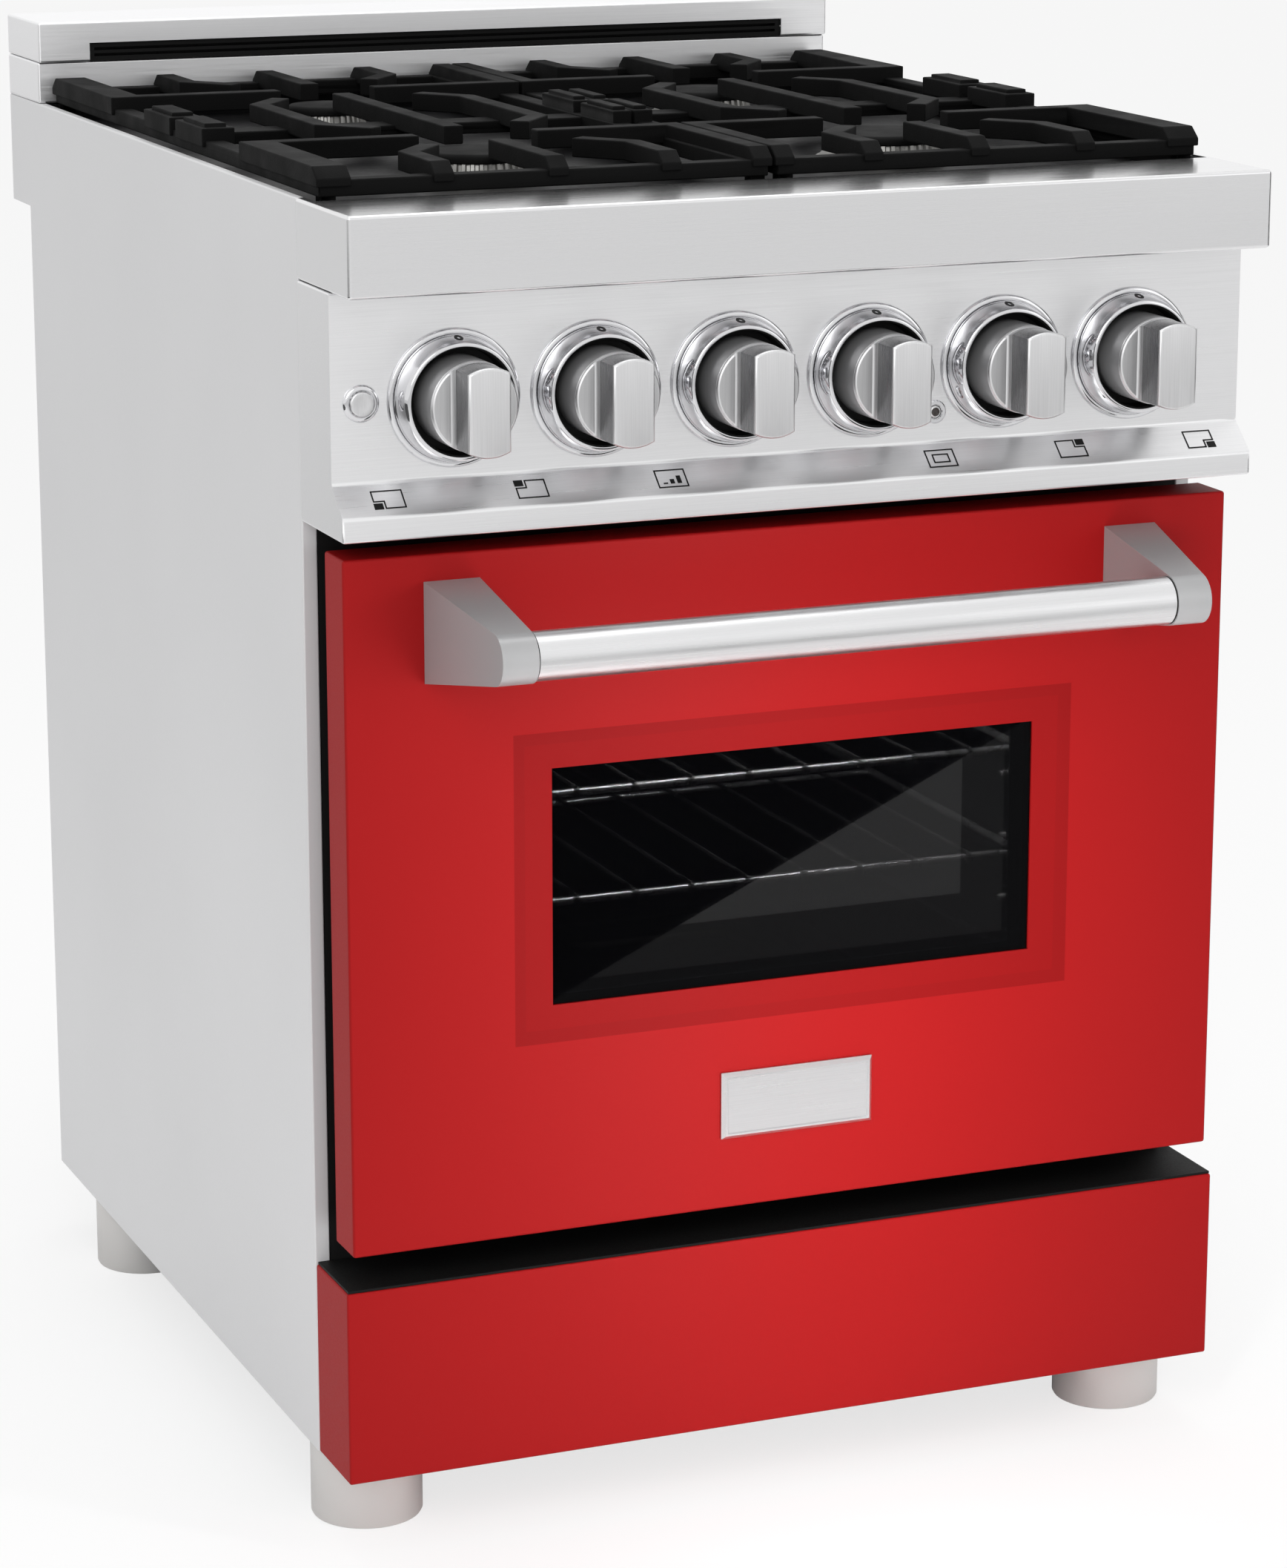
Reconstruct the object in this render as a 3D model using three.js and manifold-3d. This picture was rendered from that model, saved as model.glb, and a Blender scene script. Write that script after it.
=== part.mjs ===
// Dual fuel range cooker, 24 inch class, as an assembly of separate pieces.
// Millimetres, +Z up, +Y towards the wall behind it. Inside the drafting frame, y = 0 is the
// front edge of the side panels and z = 0 is the floor.
import * as THREE from 'three';
import { mergeVertices } from 'three/addons/utils/BufferGeometryUtils.js';
import Module from 'manifold-3d';

const wasm = await Module();
wasm.setup();

// Whole appliance
const applianceWidth = 610;
const legHeight = 50;
const cabinetDepth = 617;
const rearStep = 47;
const rearStepDrop = 76;
const sheet = 1.5;
const gap = 0.3;
const overrun = 4;

// Heights of the front, from the legs up
const kickHeight = 128.5;
const kickDoorGap = 21;
const doorHeight = 440.5;
const doorFasciaGap = 14;
const lipHeight = 14.5;
const slantHeight = 17.5;
const panelHeight = 115;
const railHeight = 49;
const riserHeight = 29;
const capHeight = 28;

// Depths of the front, forward of the side panels
const railDepth = 96;
const lipDepth = 79;
const panelDepth = 59;
const doorBackGap = 26;
const skinDepth = 33;
const kickDepth = 60;

// Side panels
const sideFrontFlange = 10;
const sideTopFlange = 5;

// Front frame and oven
const frameSheet = 2;
const ovenSideSpace = 100;
const ovenBackSpace = 104.7;
const ovenFloorRise = 22;
const ovenCeilingDrop = 22.5;
const linerFlange = 25;
const ribWidth = 8;
const ribHeight = 5;
const ribInset = 12;
const ribCount = 5;
const lowestRib = 24;
const ribTopSpace = 88;
const lowerRackRib = 2;
const upperRackRib = 3;

// Racks
const rackRod = 3;
const rackWire = 1.8;
const rackWireCount = 9;
const rackWireSides = 4;
const rackSideGap = 4;
const rackFrontInset = 20;
const rackBackInset = 20;
const rackStep = 0.7;

// Heating elements
const elementHalf = 3.5;
const elementInset = 45;
const elementFront = 60;
const elementReturn = 90;
const elementTerminals = 40;
const elementStandoff = 12;
const elementThrough = 20;

// Door
const doorSideGap = 6;
const skinFlange = 15;
const recessSideSpace = 107;
const recessDepth = 2.5;
const recessBevel = 9;
const recessRise = 123.5;
const recessDrop = 116;
const windowSideMargin = 27;
const windowMargin = 24.5;
const glassThickness = 4;
const glassLap = 8;
const innerInset = 13;
const innerBottomGap = 6.5;
const innerTopGap = 8;
const innerSheet = 2;
const gasketThickness = 7.4;
const gasketWidth = 8;
const gasketLap = 5;

// Door hinges
const pivotBack = 9;
const pivotRise = 8;
const hingeSpace = 32;
const armThickness = 6;
const armHeight = 10;
const pinRadius = 4;
const cheekThickness = 3;
const cheekHeight = 11;
const hingeSlack = 1;

// Handle and badge
const handleRadius = 15;
const handleWall = 2;
const handleReach = 85;
const handleFromTop = 48;
const bracketWidth = 36;
const bracketHeight = 63;
const bracketSideSpace = 57;
const bracketSweep = 13;
const bracketStraight = 8;
const bracketCollar = 1;
const bracketWall = 5;
const bracketPocket = 40;
const badgeWidth = 105;
const badgeHeight = 44;
const badgeThickness = 4;
const badgeBevel = 3;
const badgeRise = 47;

// Kick panel and legs
const kickSideGap = 1;
const kickPlateInset = 1;
const legRadius = 36;
const legChamfer = 2;
const legSideSpace = 37;
const legFrontSpace = 15;
const legBackSpace = 97;
const studRadius = 6;
const studHeight = 18;

// Controls
const knobCount = 6;
const knobEndSpace = 77.5;
const knobDrop = 67;
const stemRadius = 4;
const stemReach = 30;
const bezelSpace = 7;
const bezelSlope = 7.2;
const bezelRim = 1.8;
const bezelHeight = 18;
const bezelLand = 3;
const bezelFloor = 2.5;
const knobWell = 5.6;
const knobStart = 3.2;
const knobBody = 38;
const knobEase = 1.5;
const gripWidth = 26.6;
const gripHeight = 25;
const stemHoleRadius = 8;
const lampFromSide = 19;
const lampRadius = 7.5;
const lampProud = 3.5;
const lampFlange = 2;
const lampFlangeHeight = 1.5;
const lampEase = 1;
const collarWidth = 3.2;
const collarHeight = 1.5;
const indicatorRadius = 4;
const indicatorDrop = 96;
const indicatorLength = 5;
const indicatorProud = 1.5;

// Gas and oven controls behind the fascia
const manifoldRadius = 9;
const manifoldDrop = 34;
const manifoldOverhang = 22.5;
const manifoldBack = 37;
const valveWidth = 24;
const valveDepth = 34;
const valveRise = 14;
const feedRadius = 8;
const feedFromCentre = 90;
const feedOut = 26;
const controlWidth = 44;
const controlHeight = 36;
const controlDepth = 24;
const controlPlate = 2;

// Hob
const traySide = 0.3;
const trayFront = 20;
const trayDepth = 13;
const trayDrop = 1;
const traySheet = 2;
const burnerInward = 6.85;
const burnerSetback = 152;
const burnerRadii = { front_left: 36, front_right: 41, back_left: 30, back_right: 36 };
const burnerSkirt = 3;
const burnerFlangeHeight = 4;
const burnerRingInset = 4;
const burnerRingHeight = 14;
const burnerThroat = 22;
const throatDrop = 24;
const capInset = 3;
const capThickness = 7;
const capCrown = 4;

// Grates
const grateSplit = 2;
const grateSideGap = 1;
const grateEnd = 3;
const grateTop = 19;
const barWidth = 13;
const lowBar = 10;
const lowBarRise = 1;
const tipDrop = 7;
const tipRun = 9;
const cornerBar = 22;
const fingerSpace = 51;
const bendRun = 32;
const bendAcross = 25;
const burnerClear = 4;
const padLength = 60;
const padGap = 12;
const padRise = 2.5;
const padWidthShare = 0.66;
const fingerPlaceShare = 0.25;
const grateFoot = 10;
const fingerSink = 4;
const tipOverhang = 2;
const crossBarEase = 1;

// Backguard
const backguardDepth = 80;
const capOverhang = 4;
const ventSideSpace = 37;
const ventHeight = 13;
const ventRecess = 2.5;
const ventDepth = 14;
const ventGroove = 2;
const ventGrooves = 2;
const ventGrooveDepth = 8;

// Terminal cover
const coverWidth = 100;
const coverHeight = 70;
const coverDepth = 26;
const coverFromCentre = 150;
const coverRise = 70;
const cableHole = 11;

// Facets
const roundSteps = 24;
const smallSteps = 16;
const rodSides = 6;

// Levels that follow from the sizes above
const halfWidth = applianceWidth / 2;
const upperBack = cabinetDepth + rearStep;
const kickTop = legHeight + kickHeight;
const doorBottom = kickTop + kickDoorGap;
const doorTop = doorBottom + doorHeight;
const fasciaBottom = doorTop + doorFasciaGap;
const lipTop = fasciaBottom + lipHeight;
const slantTop = lipTop + slantHeight;
const railBottom = slantTop + panelHeight;
const hobTop = railBottom + railHeight;
const rearStepHeight = hobTop - rearStepDrop;
const riserTop = hobTop + riserHeight;
const capTop = riserTop + capHeight;
const doorFront = -(doorBackGap + skinDepth);
const doorHalf = halfWidth - doorSideGap;
const ventHalf = halfWidth - ventSideSpace;
const ovenHalf = halfWidth - ovenSideSpace;
const ovenFloor = doorBottom + ovenFloorRise;
const ovenCeiling = doorTop - ovenCeilingDrop;
const linerFront = frameSheet + gap;
const linerBack = cabinetDepth - ovenBackSpace;
const ribPitch = (ovenCeiling - ovenFloor - lowestRib - ribTopSpace) / (ribCount - 1);
const knobZ = railBottom - knobDrop;
const knobPitch = (halfWidth - knobEndSpace) * 2 / (knobCount - 1);
const knobXs = Array.from({ length: knobCount }, (_, i) => knobEndSpace - halfWidth + i * knobPitch);
const bezelRadius = (knobPitch - bezelSpace) / 2;
const bezelFront = bezelRadius - bezelSlope;
const bezelInner = bezelFront - bezelRim;
const knobRadius = bezelInner - knobWell;
const pivotY = doorFront + pivotBack;
const pivotZ = doorBottom + pivotRise;
const hingeFromCentre = ovenHalf + gasketLap + gasketWidth + hingeSpace;
const recessHalf = doorHalf - recessSideSpace;
const recessZ = [doorBottom + recessRise, doorTop - recessDrop];
const windowHalf = recessHalf - windowSideMargin;
const windowZ = [recessZ[0] + windowMargin, recessZ[1] - windowMargin];
const bracketOuter = halfWidth - bracketSideSpace;
const trayTop = hobTop - trayDrop;
const trayFloor = trayTop - trayDepth + traySheet;
const trayHalf = halfWidth - sideTopFlange - traySide;
const backguardFront = upperBack - backguardDepth;
const trayBack = backguardFront - gap;
const leftInside = halfWidth - sheet - gap;
const grateInner = grateSplit / 2;
const grateOuter = trayHalf - traySheet - grateSideGap;
const burnerFromCentre = (grateInner + grateOuter) / 2 - burnerInward;
const burnerFrontY = burnerSetback - trayFront;
const burnerBackY = backguardFront - burnerSetback;

const palette = {
  steel: { color: 0xd2d2d2, roughness: 0.35, metalness: 0.9 },
  sidePaint: { color: 0xd4d4d4, roughness: 0.5, metalness: 0.2 },
  chrome: { color: 0xe8e8e8, roughness: 0.1, metalness: 1 },
  darkChrome: { color: 0x4a4a4a, roughness: 0.25, metalness: 0.9 },
  red: { color: 0xb22022, roughness: 0.45, metalness: 0 },
  iron: { color: 0x191919, roughness: 0.85, metalness: 0 },
  enamel: { color: 0x141414, roughness: 0.4, metalness: 0 },
  burner: { color: 0x8d8d8a, roughness: 0.5, metalness: 0.8 },
  glass: { color: 0x0a0a0a, roughness: 0.05, metalness: 0 },
  rubber: { color: 0x222222, roughness: 0.8, metalness: 0 },
  legs: { color: 0xd0d0d0, roughness: 0.5, metalness: 0.3 },
  zinc: { color: 0xa8aaac, roughness: 0.5, metalness: 0.8 },
  lens: { color: 0xd9d9d4, roughness: 0.2, metalness: 0 },
};

// A closed geometry, welded, as a solid that can be cut and joined.
function solidOf(geometry) {
  geometry.deleteAttribute('normal');
  geometry.deleteAttribute('uv');
  const welded = mergeVertices(geometry);
  const corners = welded.index.array;
  const kept = [];
  for (let i = 0; i < corners.length; i += 3) {
    const [a, b, c] = [corners[i], corners[i + 1], corners[i + 2]];
    if (a !== b && b !== c && c !== a) kept.push(a, b, c);
  }
  return new wasm.Manifold(new wasm.Mesh({
    numProp: 3,
    vertProperties: Float32Array.from(welded.attributes.position.array),
    triVerts: Uint32Array.from(kept),
  }));
}

function geometryOf(solid) {
  const mesh = solid.getMesh();
  const geometry = new THREE.BufferGeometry();
  geometry.setAttribute('position', new THREE.BufferAttribute(mesh.vertProperties, 3));
  geometry.setIndex(new THREE.BufferAttribute(mesh.triVerts, 1));
  geometry.computeVertexNormals();
  return geometry;
}

// A named mesh of a solid, with a material of its own, at a place in its group.
function piece(name, solid, look, place = [0, 0, 0]) {
  const mesh = new THREE.Mesh(geometryOf(solid), new THREE.MeshStandardMaterial(palette[look]));
  mesh.name = name;
  mesh.position.set(...place);
  return mesh;
}

function block(x, y, z) {
  const geometry = new THREE.BoxGeometry(x[1] - x[0], y[1] - y[0], z[1] - z[0]);
  geometry.translate((x[0] + x[1]) / 2, (y[0] + y[1]) / 2, (z[0] + z[1]) / 2);
  return solidOf(geometry);
}

// A block whose front face, at the low y, is one rectangle and whose back face is another.
function taper(frontX, frontZ, backX, backZ, y) {
  const geometry = new THREE.BoxGeometry(1, 1, 1);
  const corners = geometry.attributes.position;
  for (let i = 0; i < corners.count; i += 1) {
    const front = corners.getY(i) < 0;
    const x = (front ? frontX : backX)[corners.getX(i) < 0 ? 0 : 1];
    const z = (front ? frontZ : backZ)[corners.getZ(i) < 0 ? 0 : 1];
    corners.setXYZ(i, x, y[front ? 0 : 1], z);
  }
  return solidOf(geometry);
}

function outline(points) {
  return new THREE.Shape(points.map(([u, v]) => new THREE.Vector2(u, v)));
}

// The outline of a bar of one width along a line of points, with mitred bends.
function ribbon(points, width) {
  const line = points.map(([x, y]) => new THREE.Vector2(x, y));
  const left = [];
  const right = [];
  line.forEach((point, i) => {
    const into = i > 0 ? point.clone().sub(line[i - 1]) : line[1].clone().sub(point);
    const out = i < line.length - 1 ? line[i + 1].clone().sub(point) : into.clone();
    const along = into.normalize().clone().add(out.normalize()).normalize();
    const reach = width / 2 / along.dot(into);
    const across = new THREE.Vector2(-along.y, along.x).multiplyScalar(reach);
    left.push(point.clone().add(across));
    right.unshift(point.clone().sub(across));
  });
  return new THREE.Shape([...left, ...right]);
}

const unitX = new THREE.Vector3(1, 0, 0);
const unitY = new THREE.Vector3(0, 1, 0);
const unitZ = new THREE.Vector3(0, 0, 1);

function swept(shape, length, basis, start) {
  const geometry = new THREE.ExtrudeGeometry(shape, {
    depth: length, bevelEnabled: false, curveSegments: smallSteps,
  });
  geometry.applyMatrix4(new THREE.Matrix4().makeBasis(...basis));
  geometry.translate(...start);
  return solidOf(geometry);
}

// An outline in (y, z), run along X between two places.
function alongX(shape, x) {
  return swept(shape, x[1] - x[0], [unitY, unitZ, unitX], [x[0], 0, 0]);
}

// An outline in (x, z), run along Y between two places.
function alongY(shape, y) {
  return swept(shape, y[1] - y[0], [unitX, unitZ, unitY.clone().negate()], [0, y[1], 0]);
}

// An outline in (x, y), run up Z between two heights.
function alongZ(shape, z) {
  return swept(shape, z[1] - z[0], [unitX, unitY, unitZ], [0, 0, z[0]]);
}

// A profile of (radius, height) points, turned about an axis. A profile that starts off the
// axis is a ring's section, so it closes on itself.
function lathed(points, steps) {
  const profile = points[0][0] > 0 ? [...points, points[0]] : points;
  return new THREE.LatheGeometry(profile.map(([r, h]) => new THREE.Vector2(r, h)), steps);
}

function turned(points, steps = roundSteps) {
  return solidOf(lathed(points, steps).rotateX(Math.PI / 2));
}

// The same, about an axis that comes forward, out of the fascia.
function turnedForward(points, steps = roundSteps, place = [0, 0, 0]) {
  return solidOf(lathed(points, steps).rotateX(Math.PI).translate(...place));
}

// A round rod from one point to another.
function rod(from, to, radius, sides = rodSides) {
  const start = new THREE.Vector3(...from);
  const run = new THREE.Vector3(...to).sub(start);
  const geometry = new THREE.CylinderGeometry(radius, radius, run.length(), sides);
  geometry.applyQuaternion(new THREE.Quaternion().setFromUnitVectors(unitY, run.clone().normalize()));
  const middle = start.addScaledVector(run, 1 / 2);
  geometry.translate(middle.x, middle.y, middle.z);
  return solidOf(geometry);
}

const joined = (solids) => solids.reduce((whole, next) => whole.add(next));
const cutBy = (solid, cutters) => cutters.reduce((whole, cutter) => whole.subtract(cutter), solid);
const both = (half) => [-half, half];
const sides = { left: -1, right: 1 };

// A span of x on one side of the middle, from two distances out.
function spanOn(side, inner, outer) {
  return side < 0 ? [-outer, -inner] : [inner, outer];
}

function sidePanel(side) {
  const folded = alongX(outline([
    [0, legHeight],
    [cabinetDepth, legHeight],
    [cabinetDepth, rearStepHeight],
    [upperBack, rearStepHeight],
    [upperBack, hobTop],
    [0, hobTop],
  ]), spanOn(side, halfWidth - sideFrontFlange, halfWidth));
  const inside = block(
    spanOn(side, halfWidth - sideFrontFlange - overrun, halfWidth - sheet),
    [sheet, upperBack + overrun],
    [legHeight - overrun, hobTop - sheet],
  );
  const topTrim = block(
    spanOn(side, halfWidth - sideFrontFlange - overrun, halfWidth - sideTopFlange),
    [-overrun, upperBack + overrun],
    [railBottom, hobTop + overrun],
  );
  return cutBy(folded, [inside, topTrim]);
}

// One folded sheet: the lower back, the shelf of the step and the upper back.
function backPanel() {
  const shape = outline([
    [cabinetDepth - sheet, legHeight],
    [cabinetDepth, legHeight],
    [cabinetDepth, rearStepHeight],
    [upperBack, rearStepHeight],
    [upperBack, hobTop - sheet - gap],
    [upperBack - sheet, hobTop - sheet - gap],
    [upperBack - sheet, rearStepHeight + sheet],
    [cabinetDepth - sheet, rearStepHeight + sheet],
  ]);
  const pipeHole = rod(
    [feedFromCentre, cabinetDepth - sheet - overrun, knobZ - manifoldDrop],
    [feedFromCentre, cabinetDepth + overrun, knobZ - manifoldDrop],
    feedRadius + gap,
    smallSteps,
  );
  return alongX(shape, both(leftInside)).subtract(pipeHole);
}

const legPlaces = {
  front_left: [legSideSpace - halfWidth, legFrontSpace],
  front_right: [halfWidth - legSideSpace, legFrontSpace],
  back_left: [legSideSpace - halfWidth, cabinetDepth - legBackSpace],
  back_right: [halfWidth - legSideSpace, cabinetDepth - legBackSpace],
};

function basePan() {
  const top = legHeight + studHeight;
  const inner = leftInside - sheet;
  const pan = alongY(outline([
    [-leftInside, legHeight],
    [leftInside, legHeight],
    [leftInside, top],
    [inner, top],
    [inner, legHeight + sheet],
    [-inner, legHeight + sheet],
    [-inner, top],
    [-leftInside, top],
  ]), [linerFront, cabinetDepth - sheet - gap]);
  const holes = Object.values(legPlaces).map(([x, y]) => rod(
    [x, y, legHeight - overrun],
    [x, y, legHeight + sheet + overrun],
    studRadius + gap,
    roundSteps,
  ));
  return cutBy(pan, holes);
}

function leg() {
  const top = legHeight - gap;
  return turned([
    [0, 0],
    [legRadius - legChamfer, 0],
    [legRadius, legChamfer],
    [legRadius, top],
    [studRadius, top],
    [studRadius, top + studHeight],
    [0, top + studHeight],
  ]);
}

function frontFrame() {
  const plate = block(
    both(halfWidth - sideFrontFlange - gap),
    [0, frameSheet],
    [legHeight, railBottom - gap],
  );
  const opening = block(both(ovenHalf), [-overrun, frameSheet + overrun], [ovenFloor, ovenCeiling]);
  const pipeHole = rod(
    [feedFromCentre, -overrun, knobZ - manifoldDrop],
    [feedFromCentre, frameSheet + overrun, knobZ - manifoldDrop],
    feedRadius + gap,
    smallSteps,
  );
  return cutBy(plate, [opening, pipeHole]);
}

const ribZ = (index) => ovenFloor + lowestRib + index * ribPitch;

const bakeZ = ovenFloor + elementStandoff;
const broilZ = ovenCeiling - elementStandoff;

function ovenLiner() {
  const back = linerBack;
  const outside = block(
    both(ovenHalf + sheet),
    [linerFront + sheet / 2, back + sheet],
    [ovenFloor - sheet, ovenCeiling + sheet],
  );
  const flange = block(
    both(ovenHalf + linerFlange),
    [linerFront, linerFront + sheet],
    [ovenFloor - linerFlange, ovenCeiling + linerFlange],
  );
  const inside = block(both(ovenHalf), [linerFront - overrun, back], [ovenFloor, ovenCeiling]);
  const ribs = [];
  for (let index = 0; index < ribCount; index += 1) {
    for (const side of [sides.left, sides.right]) {
      ribs.push(block(
        spanOn(side, ovenHalf - ribWidth, ovenHalf + sheet / 2),
        [linerFront + ribInset, back - ribInset],
        [ribZ(index) - ribHeight, ribZ(index)],
      ));
    }
  }
  const terminalHoles = [bakeZ, broilZ].flatMap((z) => both(elementTerminals).map((x) => rod(
    [x, back - overrun, z],
    [x, back + sheet + overrun, z],
    elementHalf * Math.SQRT2 + gap,
    smallSteps,
  )));
  const shell = joined([outside, flange]).subtract(inside);
  return cutBy(joined([shell, ...ribs]), terminalHoles);
}

function ovenRack(index) {
  const z = ribZ(index) + gap + rackRod;
  const half = ovenHalf - rackSideGap - rackRod;
  const front = linerFront + rackFrontInset;
  const back = linerBack - rackBackInset;
  const across = [front, (front + back) / 2, back].map((y) => rod(
    [-half, y, z + rackStep],
    [half, y, z + rackStep],
    rackRod - rackStep,
  ));
  const runs = both(half).map((x) => rod([x, front - rackRod, z], [x, back + rackRod, z], rackRod));
  for (let i = 1; i <= rackWireCount; i += 1) {
    const x = -half + (2 * half * i) / (rackWireCount + 1);
    const level = z + rackStep + rackWire;
    runs.push(rod([x, front, level], [x, back, level], rackWire, rackWireSides));
  }
  return joined([...across, ...runs]);
}

// A bent heating rod with its ends through the liner's back, and clips to the floor or ceiling.
function heatingElement(z, clipEnd) {
  const outer = ovenHalf - elementInset;
  const front = linerFront + elementFront;
  const turn = linerBack - elementReturn;
  const through = linerBack + sheet + elementThrough;
  const bar = alongZ(ribbon([
    [-elementTerminals, through],
    [-elementTerminals, turn],
    [-outer, turn],
    [-outer, front],
    [outer, front],
    [outer, turn],
    [elementTerminals, turn],
    [elementTerminals, through],
  ], elementHalf * 2), [z - elementHalf, z + elementHalf]);
  const clips = both(outer).map((x) => rod([x, front, z], [x, front, clipEnd], elementHalf / 2));
  return joined([bar, ...clips]);
}

function frontRail() {
  const bottom = railBottom;
  const outside = block(both(halfWidth), [-railDepth, -gap], [bottom, hobTop]);
  const inside = block(
    both(halfWidth - sheet),
    [-railDepth + sheet, overrun],
    [bottom + sheet, hobTop - sheet],
  );
  const trayNotch = block(
    both(trayHalf + traySide),
    [-trayFront - gap, overrun],
    [hobTop - trayDepth - overrun, hobTop + overrun],
  );
  return cutBy(outside, [inside, trayNotch]);
}

const lampX = -(halfWidth - lampFromSide);

function frontHole(x, z, radius) {
  return rod([x, -panelDepth - overrun, z], [x, -panelDepth + sheet + overrun, z], radius, smallSteps);
}

function controlFascia() {
  const top = railBottom - gap;
  const outside = alongX(outline([
    [-gap, top],
    [-panelDepth, top],
    [-panelDepth, slantTop],
    [-lipDepth, lipTop],
    [-lipDepth, fasciaBottom],
    [-gap, fasciaBottom],
  ]), both(halfWidth));
  const inside = alongX(outline([
    [overrun, top - sheet],
    [-panelDepth + sheet, top - sheet],
    [-panelDepth + sheet, slantTop - sheet],
    [-lipDepth + sheet, lipTop - sheet],
    [-lipDepth + sheet, fasciaBottom + sheet],
    [-panelDepth, fasciaBottom + sheet],
    [-panelDepth, fasciaBottom - overrun],
    [overrun, fasciaBottom - overrun],
  ]), both(halfWidth - sheet));
  const collar = turnedForward([
    [lampRadius + gap, -sheet / 2],
    [lampRadius + gap + collarWidth, -sheet / 2],
    [lampRadius + gap + collarWidth, collarHeight / 2],
    [lampRadius + gap + collarWidth / 2, collarHeight],
    [lampRadius + gap, collarHeight],
  ], smallSteps, [lampX, -panelDepth, knobZ]);
  const holes = [
    ...knobXs.map((x) => frontHole(x, knobZ, stemHoleRadius)),
    frontHole(lampX, knobZ, lampRadius + gap + collarWidth / 2),
    frontHole(knobPitch, railBottom - indicatorDrop, indicatorRadius + gap),
  ];
  return cutBy(outside.subtract(inside), holes).add(collar);
}

function knobBezel() {
  return turnedForward([
    [stemHoleRadius, gap],
    [bezelRadius, gap],
    [bezelRadius, bezelLand],
    [bezelFront + bezelLand, bezelHeight - bezelLand],
    [bezelFront, bezelHeight],
    [bezelInner, bezelHeight],
    [bezelInner, bezelFloor],
    [stemHoleRadius, bezelFloor],
  ]);
}

// The round of a knob's body between two flats.
function bladeShape(radius, half) {
  const turn = Math.acos(half / radius);
  const shape = new THREE.Shape();
  shape.absarc(0, 0, radius, turn, Math.PI - turn, false);
  shape.absarc(0, 0, radius, Math.PI + turn, 2 * Math.PI - turn, false);
  return shape;
}

// The body, the blade that the hand turns, and the bore that fits the stem.
function knob() {
  const body = turnedForward([
    [0, knobStart],
    [knobRadius, knobStart],
    [knobRadius, knobBody - knobEase],
    [knobRadius - knobEase, knobBody],
    [0, knobBody],
  ]);
  const blade = alongY(
    bladeShape(knobRadius - knobEase * 2, gripWidth / 2),
    [-knobBody - gripHeight, -knobBody + knobEase],
  );
  const bore = rod([0, overrun, 0], [0, -stemReach - gap, 0], stemRadius + gap, smallSteps);
  return body.add(blade).subtract(bore);
}

// The button's flange waits behind the fascia, and its head stands proud of it.
function lampButton() {
  const flangeFront = -sheet - gap;
  return turnedForward([
    [0, flangeFront - lampFlangeHeight],
    [lampRadius + lampFlange, flangeFront - lampFlangeHeight],
    [lampRadius + lampFlange, flangeFront],
    [lampRadius, flangeFront],
    [lampRadius, lampProud - lampEase],
    [lampRadius - lampEase, lampProud],
    [0, lampProud],
  ], smallSteps, [lampX, -panelDepth, knobZ]);
}

function indicatorLens() {
  const length = indicatorLength;
  return turnedForward([
    [0, 0],
    [indicatorRadius, 0],
    [indicatorRadius, length - indicatorProud],
    [indicatorRadius / 2, length],
    [0, length],
  ], smallSteps, [knobPitch, -panelDepth + length - indicatorProud, railBottom - indicatorDrop]);
}

const behindFascia = -panelDepth + sheet + gap;
const stemTip = -panelDepth - stemReach;

function stem(x) {
  return rod([x, behindFascia + overrun, knobZ], [x, stemTip, knobZ], stemRadius, smallSteps);
}

function gasManifold() {
  const y = -manifoldBack + manifoldRadius;
  const z = knobZ - manifoldDrop;
  const end = knobXs[knobCount - 1] + manifoldOverhang;
  const tube = rod([-end, y, z], [end, y, z], manifoldRadius, smallSteps);
  const feed = rod(
    [feedFromCentre, y, z],
    [feedFromCentre, cabinetDepth + feedOut, z],
    feedRadius,
    smallSteps,
  );
  const valves = [knobXs[0], knobXs[1], knobXs[4], knobXs[5]].map((x) => {
    const body = block(
      [x - valveWidth / 2, x + valveWidth / 2],
      [behindFascia, behindFascia + valveDepth],
      [z - manifoldRadius / 2, knobZ + valveRise],
    );
    return body.add(stem(x));
  });
  return joined([tube, feed, ...valves]);
}

function ovenControls() {
  const outer = (knobXs[3] - knobXs[2] + controlWidth) / 2;
  const inner = outer - controlWidth;
  const back = behindFascia + controlDepth;
  const bodies = alongZ(outline([
    [-outer, behindFascia],
    [outer, behindFascia],
    [outer, back],
    [inner, back],
    [inner, behindFascia + controlPlate],
    [-inner, behindFascia + controlPlate],
    [-inner, back],
    [-outer, back],
  ]), [knobZ - controlHeight / 2, knobZ + controlHeight / 2]);
  return joined([bodies, stem(knobXs[2]), stem(knobXs[3])]);
}

const doorSpan = [doorBottom, doorTop];

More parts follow.
